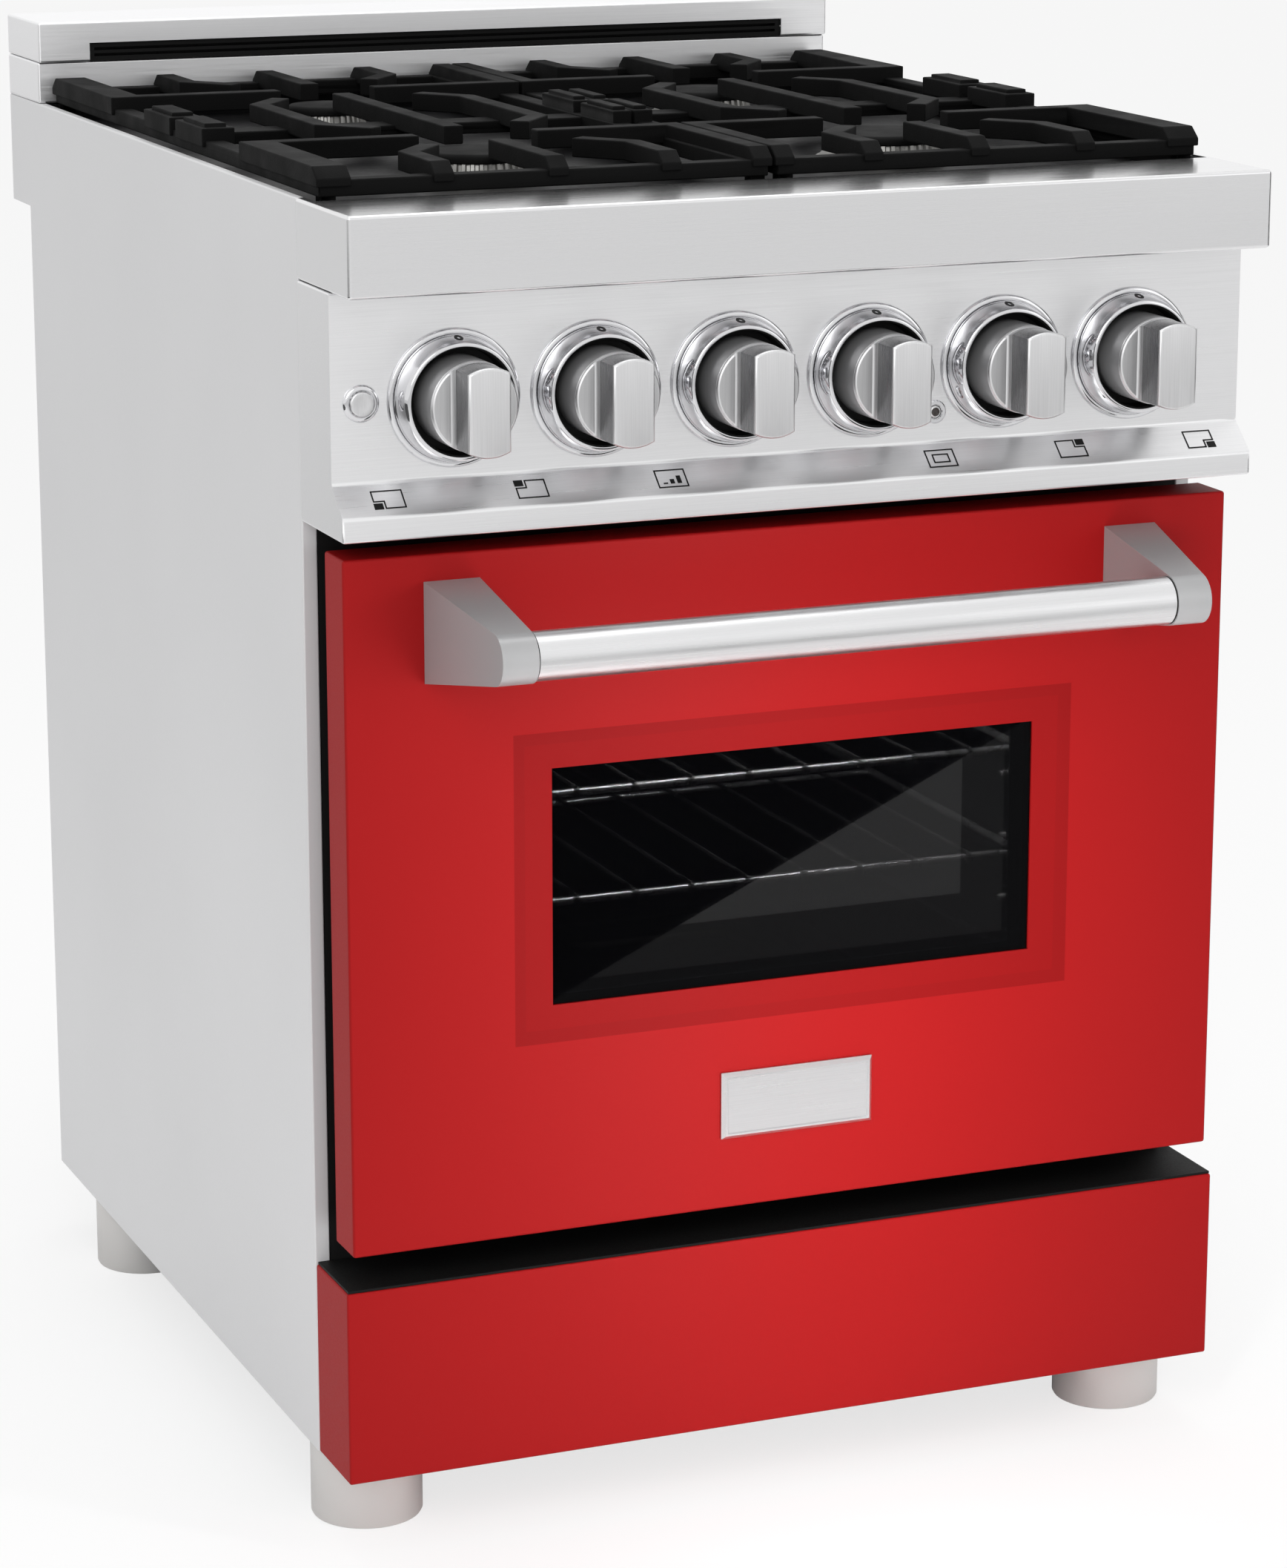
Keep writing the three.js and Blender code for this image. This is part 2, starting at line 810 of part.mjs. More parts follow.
// The door's outer sheet: a pan with returns, a rear flange, and a shallow recess round the window.
function doorSkin() {
  const recessX = both(recessHalf);
  const floorX = both(recessHalf - recessBevel);
  const floorZ = [recessZ[0] + recessBevel, recessZ[1] - recessBevel];
  const grow = (span, by) => [span[0] - by, span[1] + by];
  const floorY = doorFront + recessDepth;
  const outside = block(both(doorHalf), [doorFront, -doorBackGap], doorSpan).subtract(
    taper(recessX, recessZ, floorX, floorZ, [doorFront - gap, floorY]),
  );
  const hollow = block(
    both(doorHalf - sheet),
    [doorFront + sheet, -doorBackGap - sheet],
    grow(doorSpan, -sheet),
  ).subtract(taper(
    grow(recessX, sheet),
    grow(recessZ, sheet),
    grow(floorX, sheet),
    grow(floorZ, sheet),
    [doorFront, floorY + sheet],
  ));
  const rear = block(
    both(doorHalf - skinFlange),
    [-doorBackGap - overrun, -doorBackGap + overrun],
    grow(doorSpan, -skinFlange),
  );
  const opening = block(both(windowHalf), [doorFront - overrun, floorY + sheet + overrun], windowZ);
  const notchHalf = armThickness / 2 + hingeSlack * 2 + cheekThickness;
  const notches = both(hingeFromCentre).map((x) => block(
    [x - notchHalf, x + notchHalf],
    [pivotY - armHeight / 2 - hingeSlack * 2, overrun],
    [doorBottom - overrun, pivotZ + cheekHeight / 2 + hingeSlack],
  ));
  return cutBy(outside, [hollow, rear, opening, ...notches]);
}

const innerBack = -gasketThickness - gap * 2;
const innerFront = -doorBackGap + gap;
const innerHalf = doorHalf - innerInset;
const innerZ = [doorBottom + innerBottomGap, doorTop - innerTopGap];

// The pan that closes the door's back, with the hinge cheeks that carry the pins.
function doorInnerPanel() {
  const pan = block(both(innerHalf), [innerFront, innerBack], innerZ).subtract(block(
    both(innerHalf - innerSheet),
    [innerFront - overrun, innerBack - innerSheet],
    [innerZ[0] + innerSheet, innerZ[1] - innerSheet],
  ));
  const opening = block(
    both(windowHalf + glassLap),
    [innerFront, innerBack + overrun],
    [windowZ[0] - glassLap, windowZ[1] + glassLap],
  );
  const cheekInner = armThickness / 2 + hingeSlack;
  const slotHalf = cheekInner + cheekThickness / 2;
  const slots = both(hingeFromCentre).map((x) => block(
    [x - slotHalf, x + slotHalf],
    [innerFront - overrun, innerBack + overrun],
    [innerZ[0] - overrun, pivotZ + armHeight / 2 + hingeSlack],
  ));
  const cheekZ = [pivotZ - cheekHeight / 2, pivotZ + cheekHeight / 2];
  const cheeks = both(hingeFromCentre).flatMap((x) => [sides.left, sides.right].map((side) => {
    const span = spanOn(side, cheekInner, cheekInner + cheekThickness).map((offset) => x + offset);
    return block(span, [pivotY - cheekHeight / 2, innerBack - innerSheet / 2], cheekZ);
  }));
  const pinHalf = cheekInner + cheekThickness + overrun;
  const pinHoles = both(hingeFromCentre).map((x) => rod(
    [x - pinHalf, pivotY, pivotZ],
    [x + pinHalf, pivotY, pivotZ],
    pinRadius + gap,
    smallSteps,
  ));
  return cutBy(joined([cutBy(pan, [opening, ...slots]), ...cheeks]), pinHoles);
}

// An arm fixed to the front frame, with the pin that the door turns on.
function hingeArm(x) {
  const half = armHeight / 2;
  const shape = new THREE.Shape();
  shape.moveTo(-gap, pivotZ - half);
  shape.lineTo(-gap, pivotZ + half);
  shape.absarc(pivotY, pivotZ, half, Math.PI / 2, (3 * Math.PI) / 2, false);
  const arm = alongX(shape, [x - armThickness / 2, x + armThickness / 2]);
  const pinHalf = armThickness / 2 + hingeSlack + cheekThickness;
  const pin = rod([x - pinHalf, pivotY, pivotZ], [x + pinHalf, pivotY, pivotZ], pinRadius, smallSteps);
  return arm.add(pin);
}

function outerGlass() {
  const front = doorFront + recessDepth + sheet + gap;
  return block(
    both(windowHalf + glassLap),
    [front, front + glassThickness],
    [windowZ[0] - glassLap, windowZ[1] + glassLap],
  );
}

function innerGlass() {
  const back = innerBack - innerSheet - gap;
  return block(
    both(windowHalf + glassLap * 2),
    [back - glassThickness, back],
    [windowZ[0] - glassLap * 2, windowZ[1] + glassLap * 2],
  );
}

function doorGasket() {
  const y = [innerBack + gap, -gap];
  const ring = (grow) => [
    both(ovenHalf + gasketLap + grow),
    y,
    [ovenFloor - gasketLap - grow, ovenCeiling + gasketLap + grow],
  ];
  const [x, , z] = ring(0);
  return block(...ring(gasketWidth)).subtract(block(x, [y[0] - overrun, y[1] + overrun], z));
}

const handleZ = doorTop - handleFromTop;
const handleY = doorFront - handleReach;
const bracketInner = bracketOuter - bracketWidth;

function handleTube() {
  const half = bracketInner - gap;
  const outside = rod([-half, handleY, handleZ], [half, handleY, handleZ], handleRadius, roundSteps);
  const end = half + overrun;
  return outside.subtract(
    rod([-end, handleY, handleZ], [end, handleY, handleZ], handleRadius - handleWall, smallSteps),
  );
}

// A wedge that narrows from the door to the round of the tube, hollow from behind.
function handleBracket(side) {
  const foot = doorFront - gap;
  const half = bracketHeight / 2;
  const round = handleRadius + bracketCollar;
  const reach = foot - handleY;
  const lean = Math.atan2(half, reach) + Math.acos(round / Math.hypot(half, reach));
  const shape = new THREE.Shape();
  shape.moveTo(foot, handleZ - half);
  shape.lineTo(foot, handleZ + half);
  shape.absarc(handleY, handleZ, round, lean, 2 * Math.PI - lean, false);
  const solid = alongX(shape, spanOn(side, bracketInner, bracketOuter));
  const sweepAway = alongZ(outline([
    [side * bracketOuter, foot - bracketStraight],
    [side * (bracketOuter + overrun), foot - bracketStraight],
    [side * (bracketOuter + overrun), handleY - round - overrun],
    [side * (bracketOuter - bracketSweep), handleY - round - overrun],
    [side * (bracketOuter - bracketSweep), handleY],
  ]), [handleZ - half - overrun, handleZ + half + overrun]);
  const pocketOuter = bracketOuter - bracketSweep;
  const pocket = block(
    spanOn(side, bracketInner + bracketWall, pocketOuter - bracketWall),
    [foot - bracketPocket, foot + overrun],
    [handleZ - round + bracketWall, handleZ + round - bracketWall],
  );
  return cutBy(solid, [sweepAway, pocket]);
}

function badgePlate() {
  const half = badgeWidth / 2;
  const z = [doorBottom + badgeRise, doorBottom + badgeRise + badgeHeight];
  return taper(
    both(half - badgeBevel),
    [z[0] + badgeBevel, z[1] - badgeBevel],
    both(half),
    z,
    [doorFront - gap - badgeThickness, doorFront - gap],
  );
}

const kickHalf = halfWidth - kickSideGap;

function kickPanel() {
  const top = kickTop - sheet - gap;
  const outside = block(both(kickHalf), [-kickDepth, -gap], [legHeight, top]);
  const inside = block(
    both(kickHalf - sheet),
    [-kickDepth + sheet, overrun],
    [legHeight + sheet, top + overrun],
  );
  return outside.subtract(inside);
}

function kickTopPlate() {
  return block(
    both(kickHalf - kickPlateInset),
    [-kickDepth + kickPlateInset, -gap],
    [kickTop - sheet, kickTop],
  );
}

const burnerPlaces = {
  front_left: [-burnerFromCentre, burnerFrontY],
  front_right: [burnerFromCentre, burnerFrontY],
  back_left: [-burnerFromCentre, burnerBackY],
  back_right: [burnerFromCentre, burnerBackY],
};

function cooktopTray() {
  const outside = block(both(trayHalf), [-trayFront, trayBack], [trayTop - trayDepth, trayTop]);
  const inside = block(
    both(trayHalf - traySheet),
    [-trayFront + traySheet, trayBack - traySheet],
    [trayFloor, trayTop + overrun],
  );
  const holes = Object.values(burnerPlaces).map(([x, y]) => rod(
    [x, y, trayTop - trayDepth - overrun],
    [x, y, trayFloor + overrun],
    burnerThroat + gap,
    roundSteps,
  ));
  return cutBy(outside, [inside, ...holes]);
}

// Heights here are above the tray's floor.
function burnerBase(radius) {
  return turned([
    [0, -throatDrop],
    [burnerThroat, -throatDrop],
    [burnerThroat, gap],
    [radius + burnerSkirt, gap],
    [radius + burnerSkirt, burnerFlangeHeight],
    [radius, burnerFlangeHeight],
    [radius - burnerRingInset, burnerRingHeight],
    [0, burnerRingHeight],
  ]);
}

function burnerCap(radius) {
  const rim = radius - capInset;
  const bottom = burnerRingHeight + gap;
  return turned([
    [0, bottom],
    [rim, bottom],
    [rim, bottom + capThickness - capCrown],
    [rim - capCrown, bottom + capThickness],
    [0, bottom + capThickness],
  ]);
}

const grateZ = hobTop + grateTop;
const lowZ = [hobTop + lowBarRise, hobTop + lowBarRise + lowBar];
const raisedZ = [lowZ[1] - fingerSink, grateZ];

// The raised bars over one burner: an angle from each end of the edge, and a straight and two
// bent fingers from the edge and from the cross bar, all open at the tip towards the burner.
function panSupports(side, burner, edge, inward, middle) {
  const [centreX, centreY] = burnerPlaces[burner];
  const clear = burnerRadii[burner] + burnerClear;
  const raised = (points) => alongZ(ribbon(points, barWidth), raisedZ);
  const bars = [];
  for (const [start, ahead] of [[edge, inward], [middle, -inward]]) {
    bars.push(raised([[centreX, start], [centreX, centreY - ahead * clear]]));
    for (const way of [sides.left, sides.right]) {
      const x = centreX + way * (grateOuter - grateInner) * fingerPlaceShare;
      const bend = centreY - ahead * (fingerSpace + bendRun);
      bars.push(raised([[x, start], [x, bend], [x - way * bendAcross, bend + ahead * bendRun]]));
    }
  }
  for (const way of [sides.left, sides.right]) {
    const outside = way === side;
    const width = outside ? cornerBar : barWidth;
    const rail = side * (outside ? grateOuter : grateInner) - way * (width / 2);
    const railEdge = rail - way * (width / 2);
    const tip = centreX + way * clear;
    bars.push(alongZ(outline([
      [rail + way * (width / 2), edge],
      [rail + way * (width / 2), centreY + (inward * barWidth) / 2],
      [tip, centreY + (inward * barWidth) / 2],
      [tip, centreY - (inward * barWidth) / 2],
      [railEdge, centreY - (inward * barWidth) / 2],
      [railEdge, edge],
    ]), raisedZ));
  }
  return bars;
}

// A long prism that slopes the tips of the bars along one edge of the hob.
function tipSlope(edge, inward) {
  return alongX(outline([
    [edge - inward * overrun, raisedZ[1] - tipDrop - (overrun * tipDrop) / tipRun],
    [edge + inward * (tipRun + overrun), raisedZ[1] + (overrun * tipDrop) / tipRun],
    [edge - inward * overrun, raisedZ[1] + (overrun * tipDrop) / tipRun],
  ]), both(halfWidth));
}

// The doubled pads halfway along one rail of a grate.
function middlePads(x, width, middle) {
  return [sides.left, sides.right].flatMap((way) => {
    const start = middle + (way * padGap) / 2;
    const [low, high] = [start, start + way * padLength].sort((a, b) => a - b);
    return [
      block([x - width / 2, x + width / 2], [low, high], raisedZ),
      block(
        [x - (width * padWidthShare) / 2, x + (width * padWidthShare) / 2],
        [low + padGap / 2, high - padGap / 2],
        [grateZ - padRise, grateZ + padRise],
      ),
    ];
  });
}

// One of the two grates. Each holds the pans over a front and a back burner.
function grate(side) {
  const word = side < 0 ? 'left' : 'right';
  const front = -trayFront + traySheet + grateEnd;
  const back = trayBack - traySheet - grateEnd;
  const middle = (burnerFrontY + burnerBackY) / 2;
  const ringSpan = [grateInner + tipOverhang, grateOuter - tipOverhang];
  const ringDepth = [front + tipOverhang, back - tipOverhang];
  const ring = block(spanOn(side, ...ringSpan), ringDepth, lowZ).subtract(block(
    spanOn(side, ringSpan[0] + barWidth, ringSpan[1] - barWidth),
    [ringDepth[0] + barWidth, ringDepth[1] - barWidth],
    [lowZ[0] - overrun, lowZ[1] + overrun],
  ));
  const crossBar = block(
    spanOn(side, ringSpan[0] + barWidth / 2, ringSpan[1] - barWidth / 2),
    [middle - barWidth, middle + barWidth],
    [lowZ[0] + crossBarEase, lowZ[1] - crossBarEase],
  );
  const footXs = [ringSpan[0] + barWidth / 2, ringSpan[1] - barWidth / 2].map((x) => side * x);
  const footYs = [ringDepth[0] + barWidth / 2, ringDepth[1] - barWidth / 2];
  const feet = footXs.flatMap((x) => footYs.map((y) => block(
    [x - grateFoot / 2, x + grateFoot / 2],
    [y - grateFoot / 2, y + grateFoot / 2],
    [trayFloor + gap, lowZ[1] - crossBarEase],
  )));
  const whole = joined([
    ring,
    crossBar,
    ...feet,
    ...panSupports(side, `front_${word}`, front, 1, middle),
    ...panSupports(side, `back_${word}`, back, -1, middle),
    ...middlePads(side * (grateOuter - cornerBar / 2), cornerBar, middle),
    ...middlePads(side * (grateInner + barWidth / 2), barWidth, middle),
  ]);
  return cutBy(whole, [tipSlope(front, 1), tipSlope(back, -1)]);
}

function backguardRiser() {
  const bottom = hobTop + gap;
  const outside = block(both(halfWidth), [backguardFront, upperBack], [bottom, riserTop - gap]);
  const inside = block(
    both(halfWidth - sheet),
    [backguardFront + sheet, upperBack - sheet],
    [bottom - overrun, riserTop - gap - sheet],
  );
  return outside.subtract(inside);
}

function backguardCap() {
  const front = backguardFront - capOverhang;
  const outside = block(both(halfWidth), [front, upperBack], [riserTop, capTop]);
  const inside = block(
    both(halfWidth - sheet),
    [front + sheet, upperBack - sheet],
    [riserTop - overrun, capTop - sheet],
  );
  const slot = block(
    both(ventHalf),
    [front - overrun, front + sheet + overrun],
    [riserTop - overrun, riserTop + ventHeight],
  );
  return cutBy(outside, [inside, slot]);
}

function ventInsert() {
  const front = backguardFront - capOverhang + ventRecess;
  const z = [riserTop, riserTop + ventHeight - gap];
  const grooves = [];
  for (let i = 1; i <= ventGrooves; i += 1) {
    const middle = z[0] + ((z[1] - z[0]) * i) / (ventGrooves + 1);
    grooves.push(block(
      both(ventHalf - overrun),
      [front - overrun, front + ventGrooveDepth],
      [middle - ventGroove / 2, middle + ventGroove / 2],
    ));
  }
  return cutBy(block(both(ventHalf - gap), [front, front + ventDepth], z), grooves);
}

function terminalCover() {
  const x = [-coverFromCentre - coverWidth / 2, -coverFromCentre + coverWidth / 2];
  const z = [legHeight + coverRise, legHeight + coverRise + coverHeight];
  const back = cabinetDepth + gap;
  const outside = block(x, [back, back + coverDepth], z);
  const inside = block(
    [x[0] + sheet, x[1] - sheet],
    [back - overrun, back + coverDepth - sheet],
    [z[0] + sheet, z[1] - sheet],
  );
  const middleY = back + coverDepth / 2;
  const hole = rod(
    [-coverFromCentre, middleY, z[0] - overrun],
    [-coverFromCentre, middleY, z[0] + sheet + overrun],
    cableHole,
    smallSteps,
  );
  return cutBy(outside, [inside, hole]);
}

function groupOf(pieces) {
  const group = new THREE.Group();
  group.add(...pieces);
  return group;
}

const cabinet = groupOf([
  piece('side_panel_left', sidePanel(sides.left), 'sidePaint'),
  piece('side_panel_right', sidePanel(sides.right), 'sidePaint'),
  piece('back_panel', backPanel(), 'zinc'),
  piece('base_pan', basePan(), 'zinc'),
  piece('front_frame', frontFrame(), 'enamel'),
  piece('kick_panel', kickPanel(), 'red'),
  piece('kick_top_plate', kickTopPlate(), 'enamel'),
  piece('power_inlet_cover', terminalCover(), 'zinc'),
  ...Object.entries(legPlaces).map(([name, [x, y]]) => piece(`leg_${name}`, leg(), 'legs', [x, y, 0])),
]);

const oven = groupOf([
  piece('oven_liner', ovenLiner(), 'enamel'),
  piece('oven_rack_upper', ovenRack(upperRackRib), 'chrome'),
  piece('oven_rack_lower', ovenRack(lowerRackRib), 'chrome'),
  piece('bake_element', heatingElement(bakeZ, ovenFloor + gap), 'darkChrome'),
  piece('broil_element', heatingElement(broilZ, ovenCeiling - gap), 'darkChrome'),
]);

const front = groupOf([
  piece('front_rail', frontRail(), 'steel'),
  piece('control_fascia', controlFascia(), 'steel'),
  piece('gas_manifold', gasManifold(), 'zinc'),
  piece('oven_controls', ovenControls(), 'zinc'),
  piece('lamp_button', lampButton(), 'chrome'),
  piece('indicator_lens', indicatorLens(), 'lens'),
  ...knobXs.map((x, i) => piece(`knob_bezel_${i + 1}`, knobBezel(), 'chrome', [x, -panelDepth, knobZ])),
  ...knobXs.map((x, i) => piece(`knob_${i + 1}`, knob(), 'steel', [x, -panelDepth, knobZ])),
]);

const door = groupOf([
  piece('door_skin', doorSkin(), 'red'),
  piece('door_inner_panel', doorInnerPanel(), 'enamel'),
  piece('door_glass_outer', outerGlass(), 'glass'),
  piece('door_glass_inner', innerGlass(), 'glass'),
  piece('door_gasket', doorGasket(), 'rubber'),
  piece('handle_tube', handleTube(), 'steel'),
  piece('handle_bracket_left', handleBracket(sides.left), 'steel'),
  piece('handle_bracket_right', handleBracket(sides.right), 'steel'),
  piece('badge_plate', badgePlate(), 'steel'),
  piece('hinge_arm_left', hingeArm(-hingeFromCentre), 'zinc'),
  piece('hinge_arm_right', hingeArm(hingeFromCentre), 'zinc'),
]);

const hob = groupOf([
  piece('cooktop_tray', cooktopTray(), 'enamel'),
  piece('grate_left', grate(sides.left), 'iron'),
  piece('grate_right', grate(sides.right), 'iron'),
  ...Object.entries(burnerPlaces).flatMap(([name, [x, y]]) => [
    piece(`burner_base_${name}`, burnerBase(burnerRadii[name]), 'burner', [x, y, trayFloor]),
    piece(`burner_cap_${name}`, burnerCap(burnerRadii[name]), 'iron', [x, y, trayFloor]),
  ]),
]);

const backguard = groupOf([
  piece('backguard_riser', backguardRiser(), 'steel'),
  piece('backguard_cap', backguardCap(), 'steel'),
  piece('vent_insert', ventInsert(), 'enamel'),
]);

// The origin is on the floor, in the middle of the whole appliance's width and depth.
const frontMost = handleY - handleRadius - bracketCollar;
const rangeCooker = groupOf([cabinet, oven, front, door, hob, backguard]);
rangeCooker.position.y = -(frontMost + upperBack) / 2;

export default rangeCooker;
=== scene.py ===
import math

import bmesh
import bpy
from mathutils import Matrix, Vector


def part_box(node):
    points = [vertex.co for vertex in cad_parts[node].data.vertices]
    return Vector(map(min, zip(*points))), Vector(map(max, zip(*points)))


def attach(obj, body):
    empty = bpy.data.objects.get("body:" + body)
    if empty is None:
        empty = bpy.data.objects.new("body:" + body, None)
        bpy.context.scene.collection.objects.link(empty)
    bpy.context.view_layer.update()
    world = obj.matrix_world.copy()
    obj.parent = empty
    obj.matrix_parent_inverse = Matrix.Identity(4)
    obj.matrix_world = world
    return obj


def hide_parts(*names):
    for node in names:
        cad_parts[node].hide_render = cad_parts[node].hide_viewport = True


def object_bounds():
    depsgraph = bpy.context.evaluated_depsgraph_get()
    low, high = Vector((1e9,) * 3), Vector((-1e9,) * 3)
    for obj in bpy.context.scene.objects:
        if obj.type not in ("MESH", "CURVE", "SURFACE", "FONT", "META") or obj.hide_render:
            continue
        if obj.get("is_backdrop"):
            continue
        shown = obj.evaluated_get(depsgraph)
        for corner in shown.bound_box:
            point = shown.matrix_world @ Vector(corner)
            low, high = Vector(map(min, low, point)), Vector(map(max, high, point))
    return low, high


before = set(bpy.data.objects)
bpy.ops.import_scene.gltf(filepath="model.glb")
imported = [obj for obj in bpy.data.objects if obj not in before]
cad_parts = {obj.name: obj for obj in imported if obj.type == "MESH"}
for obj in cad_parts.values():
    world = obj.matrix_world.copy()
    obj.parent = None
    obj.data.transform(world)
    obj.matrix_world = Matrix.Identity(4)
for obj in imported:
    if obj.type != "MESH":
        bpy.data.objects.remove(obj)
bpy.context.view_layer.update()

mm = 0.001
close = 1e-6  # two places nearer than this, in metres, are one
scene = bpy.context.scene


# helpers for places and colours

def middleOf(node):
    low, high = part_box(node)
    return (low + high) / 2


def tone(red, green, blue):  # a screen colour, 0 to 255, as the linear colour that a shader takes
    def linear(value):
        value /= 255
        return value / 12.92 if value <= 0.04045 else ((value + 0.055) / 1.055) ** 2.4
    return (linear(red), linear(green), linear(blue))


def shade(color, share):
    return tuple(channel * share for channel in color)


# helpers for materials

usual = (0.3, 0.7)  # most noise lies between these
even = (1, 1, 1)


def newMaterial(name, look):
    material = bpy.data.materials.new(name)
    material.use_nodes = True
    shader = material.node_tree.nodes["Principled BSDF"]
    shader.inputs["Base Color"].default_value = (*look["color"], 1)
    shader.inputs["Roughness"].default_value = look["rough"]
    shader.inputs["Metallic"].default_value = look.get("metal", 0)
    shader.inputs["Specular IOR Level"].default_value = look.get("gloss", 0.5)
    return material, material.node_tree, shader


def noise(tree, scale, stretch=even, detail=3):  # noise in metres, drawn out along the small stretch
    place = tree.nodes.new("ShaderNodeTexCoord")
    mapping = tree.nodes.new("ShaderNodeMapping")
    texture = tree.nodes.new("ShaderNodeTexNoise")
    mapping.inputs["Scale"].default_value = stretch
    texture.inputs["Scale"].default_value = scale
    texture.inputs["Detail"].default_value = detail
    tree.links.new(place.outputs["Object"], mapping.inputs["Vector"])
    tree.links.new(mapping.outputs["Vector"], texture.inputs["Vector"])
    return texture.outputs["Fac"]


def roughen(tree, shader, value, low, high):
    node = tree.nodes.new("ShaderNodeMapRange")
    for key, number in zip(("From Min", "From Max", "To Min", "To Max"), (*usual, low, high)):
        node.inputs[key].default_value = number
    tree.links.new(value, node.inputs["Value"])
    tree.links.new(node.outputs["Result"], shader.inputs["Roughness"])


def tint(tree, shader, value, dark, light, between=usual):
    ramp = tree.nodes.new("ShaderNodeValToRGB")
    for element, position, color in zip(ramp.color_ramp.elements, between, (dark, light)):
        element.position = position
        element.color = (*color, 1)
    tree.links.new(value, ramp.inputs["Fac"])
    tree.links.new(ramp.outputs["Color"], shader.inputs["Base Color"])


def bump(tree, shader, value, depth, strength=1):
    node = tree.nodes.new("ShaderNodeBump")
    node.inputs["Distance"].default_value = depth * mm
    node.inputs["Strength"].default_value = strength
    tree.links.new(value, node.inputs["Height"])
    tree.links.new(node.outputs["Normal"], shader.inputs["Normal"])


def patternsOf(kind, grain):  # the noise of the colour, the roughness and the relief: scale, stretch, detail
    across, upright, fine = (16, (1, 90, 90), 4), (22, (70, 70, 1), 3), (grain, even, 2)
    return {
        "brushed": (across, across, across),
        "turned": (upright, upright, upright),
        "painted": ((3, even, 3), fine, fine),
        "cast": ((35, even, 3), (35, even, 3), fine),
        "plain": ((grain, even, 3),) * 3,
    }[kind]


# shares of the colour and of the roughness at both ends of the noise, then the relief's depth and strength
swings = {
    "brushed": ((0.965, 1.0175), (1.2, 0.8), 0.004, 1),
    "turned": ((0.92, 1.04), (1.2, 0.85), 0.006, 1),
    "painted": ((0.97, 1.02), (0.92, 1.08), 0.01, 1),
    "cast": ((0.8, 1.4), (0.62 / 0.66, 0.8 / 0.66), 0.16, 0.8),
    "plain": ((0.9, 1.08), (0.85, 1.15), 0.03, 1),
}


def newFinish(kind, name, color, rough, metal=0, gloss=0.5, grain=900):
    look = {"color": color, "rough": rough, "metal": metal, "gloss": gloss}
    material, tree, shader = newMaterial(name, look)
    patterns = patternsOf(kind, grain)
    made = {pattern: noise(tree, *pattern) for pattern in dict.fromkeys(patterns)}
    forColor, forRough, forRelief = (made[pattern] for pattern in patterns)
    (dark, light), (low, high), depth, strength = swings[kind]
    tint(tree, shader, forColor, shade(color, dark), shade(color, light))
    roughen(tree, shader, forRough, rough * low, rough * high)
    bump(tree, shader, forRelief, depth, strength)
    return material


chromeLook = {"color": tone(216, 216, 218), "rough": 0.07, "metal": 1, "haze": 60, "clear": 0.05,
              "dull": 0.1, "wave": 25, "depth": 0.02}


def chromeFinish():
    material, tree, shader = newMaterial("polished_chrome", chromeLook)
    roughen(tree, shader, noise(tree, chromeLook["haze"]), chromeLook["clear"], chromeLook["dull"])
    bump(tree, shader, noise(tree, chromeLook["wave"]), chromeLook["depth"])
    return material


zincLook = {"color": tone(176, 179, 182), "rough": 0.42, "metal": 0.9, "flakes": 90, "dark": 0.86,
            "light": 1.06, "clear": 0.36, "dull": 0.5}


def zincSheet():  # galvanised sheet with its crystal flakes
    material, tree, shader = newMaterial("zinc_sheet", zincLook)
    place = tree.nodes.new("ShaderNodeTexCoord")
    flakes = tree.nodes.new("ShaderNodeTexVoronoi")
    flakes.inputs["Scale"].default_value = zincLook["flakes"]
    tree.links.new(place.outputs["Object"], flakes.inputs["Vector"])
    grey = tree.nodes.new("ShaderNodeRGBToBW")
    tree.links.new(flakes.outputs["Color"], grey.inputs["Color"])
    dark, light = (shade(zincLook["color"], zincLook[key]) for key in ("dark", "light"))
    tint(tree, shader, grey.outputs["Val"], dark, light)
    roughen(tree, shader, grey.outputs["Val"], zincLook["clear"], zincLook["dull"])
    return material


enamelLook = {"color": tone(30, 31, 34), "rough": 0.3, "gloss": 0.4, "specks": 420, "detail": 1,
              "speck": tone(96, 98, 104), "between": (0.66, 0.7), "wave": 200, "depth": 0.02}


def speckledEnamel():  # porcelain enamel with fine pale specks, as ovens have
    material, tree, shader = newMaterial("oven_enamel", enamelLook)
    specks = noise(tree, enamelLook["specks"], detail=enamelLook["detail"])
    tint(tree, shader, specks, enamelLook["color"], enamelLook["speck"], enamelLook["between"])
    bump(tree, shader, noise(tree, enamelLook["wave"]), enamelLook["depth"])
    return material


glassLook = {"color": tone(4, 4, 5), "rough": 0.02, "gloss": 0.36, "smear": 14, "clear": 0.003,
             "dull": 0.008}


def tintedGlass(name, cover):
    material, tree, shader = newMaterial(name, glassLook)
    shader.inputs["Alpha"].default_value = cover
    roughen(tree, shader, noise(tree, glassLook["smear"]), glassLook["clear"], glassLook["dull"])
    return material


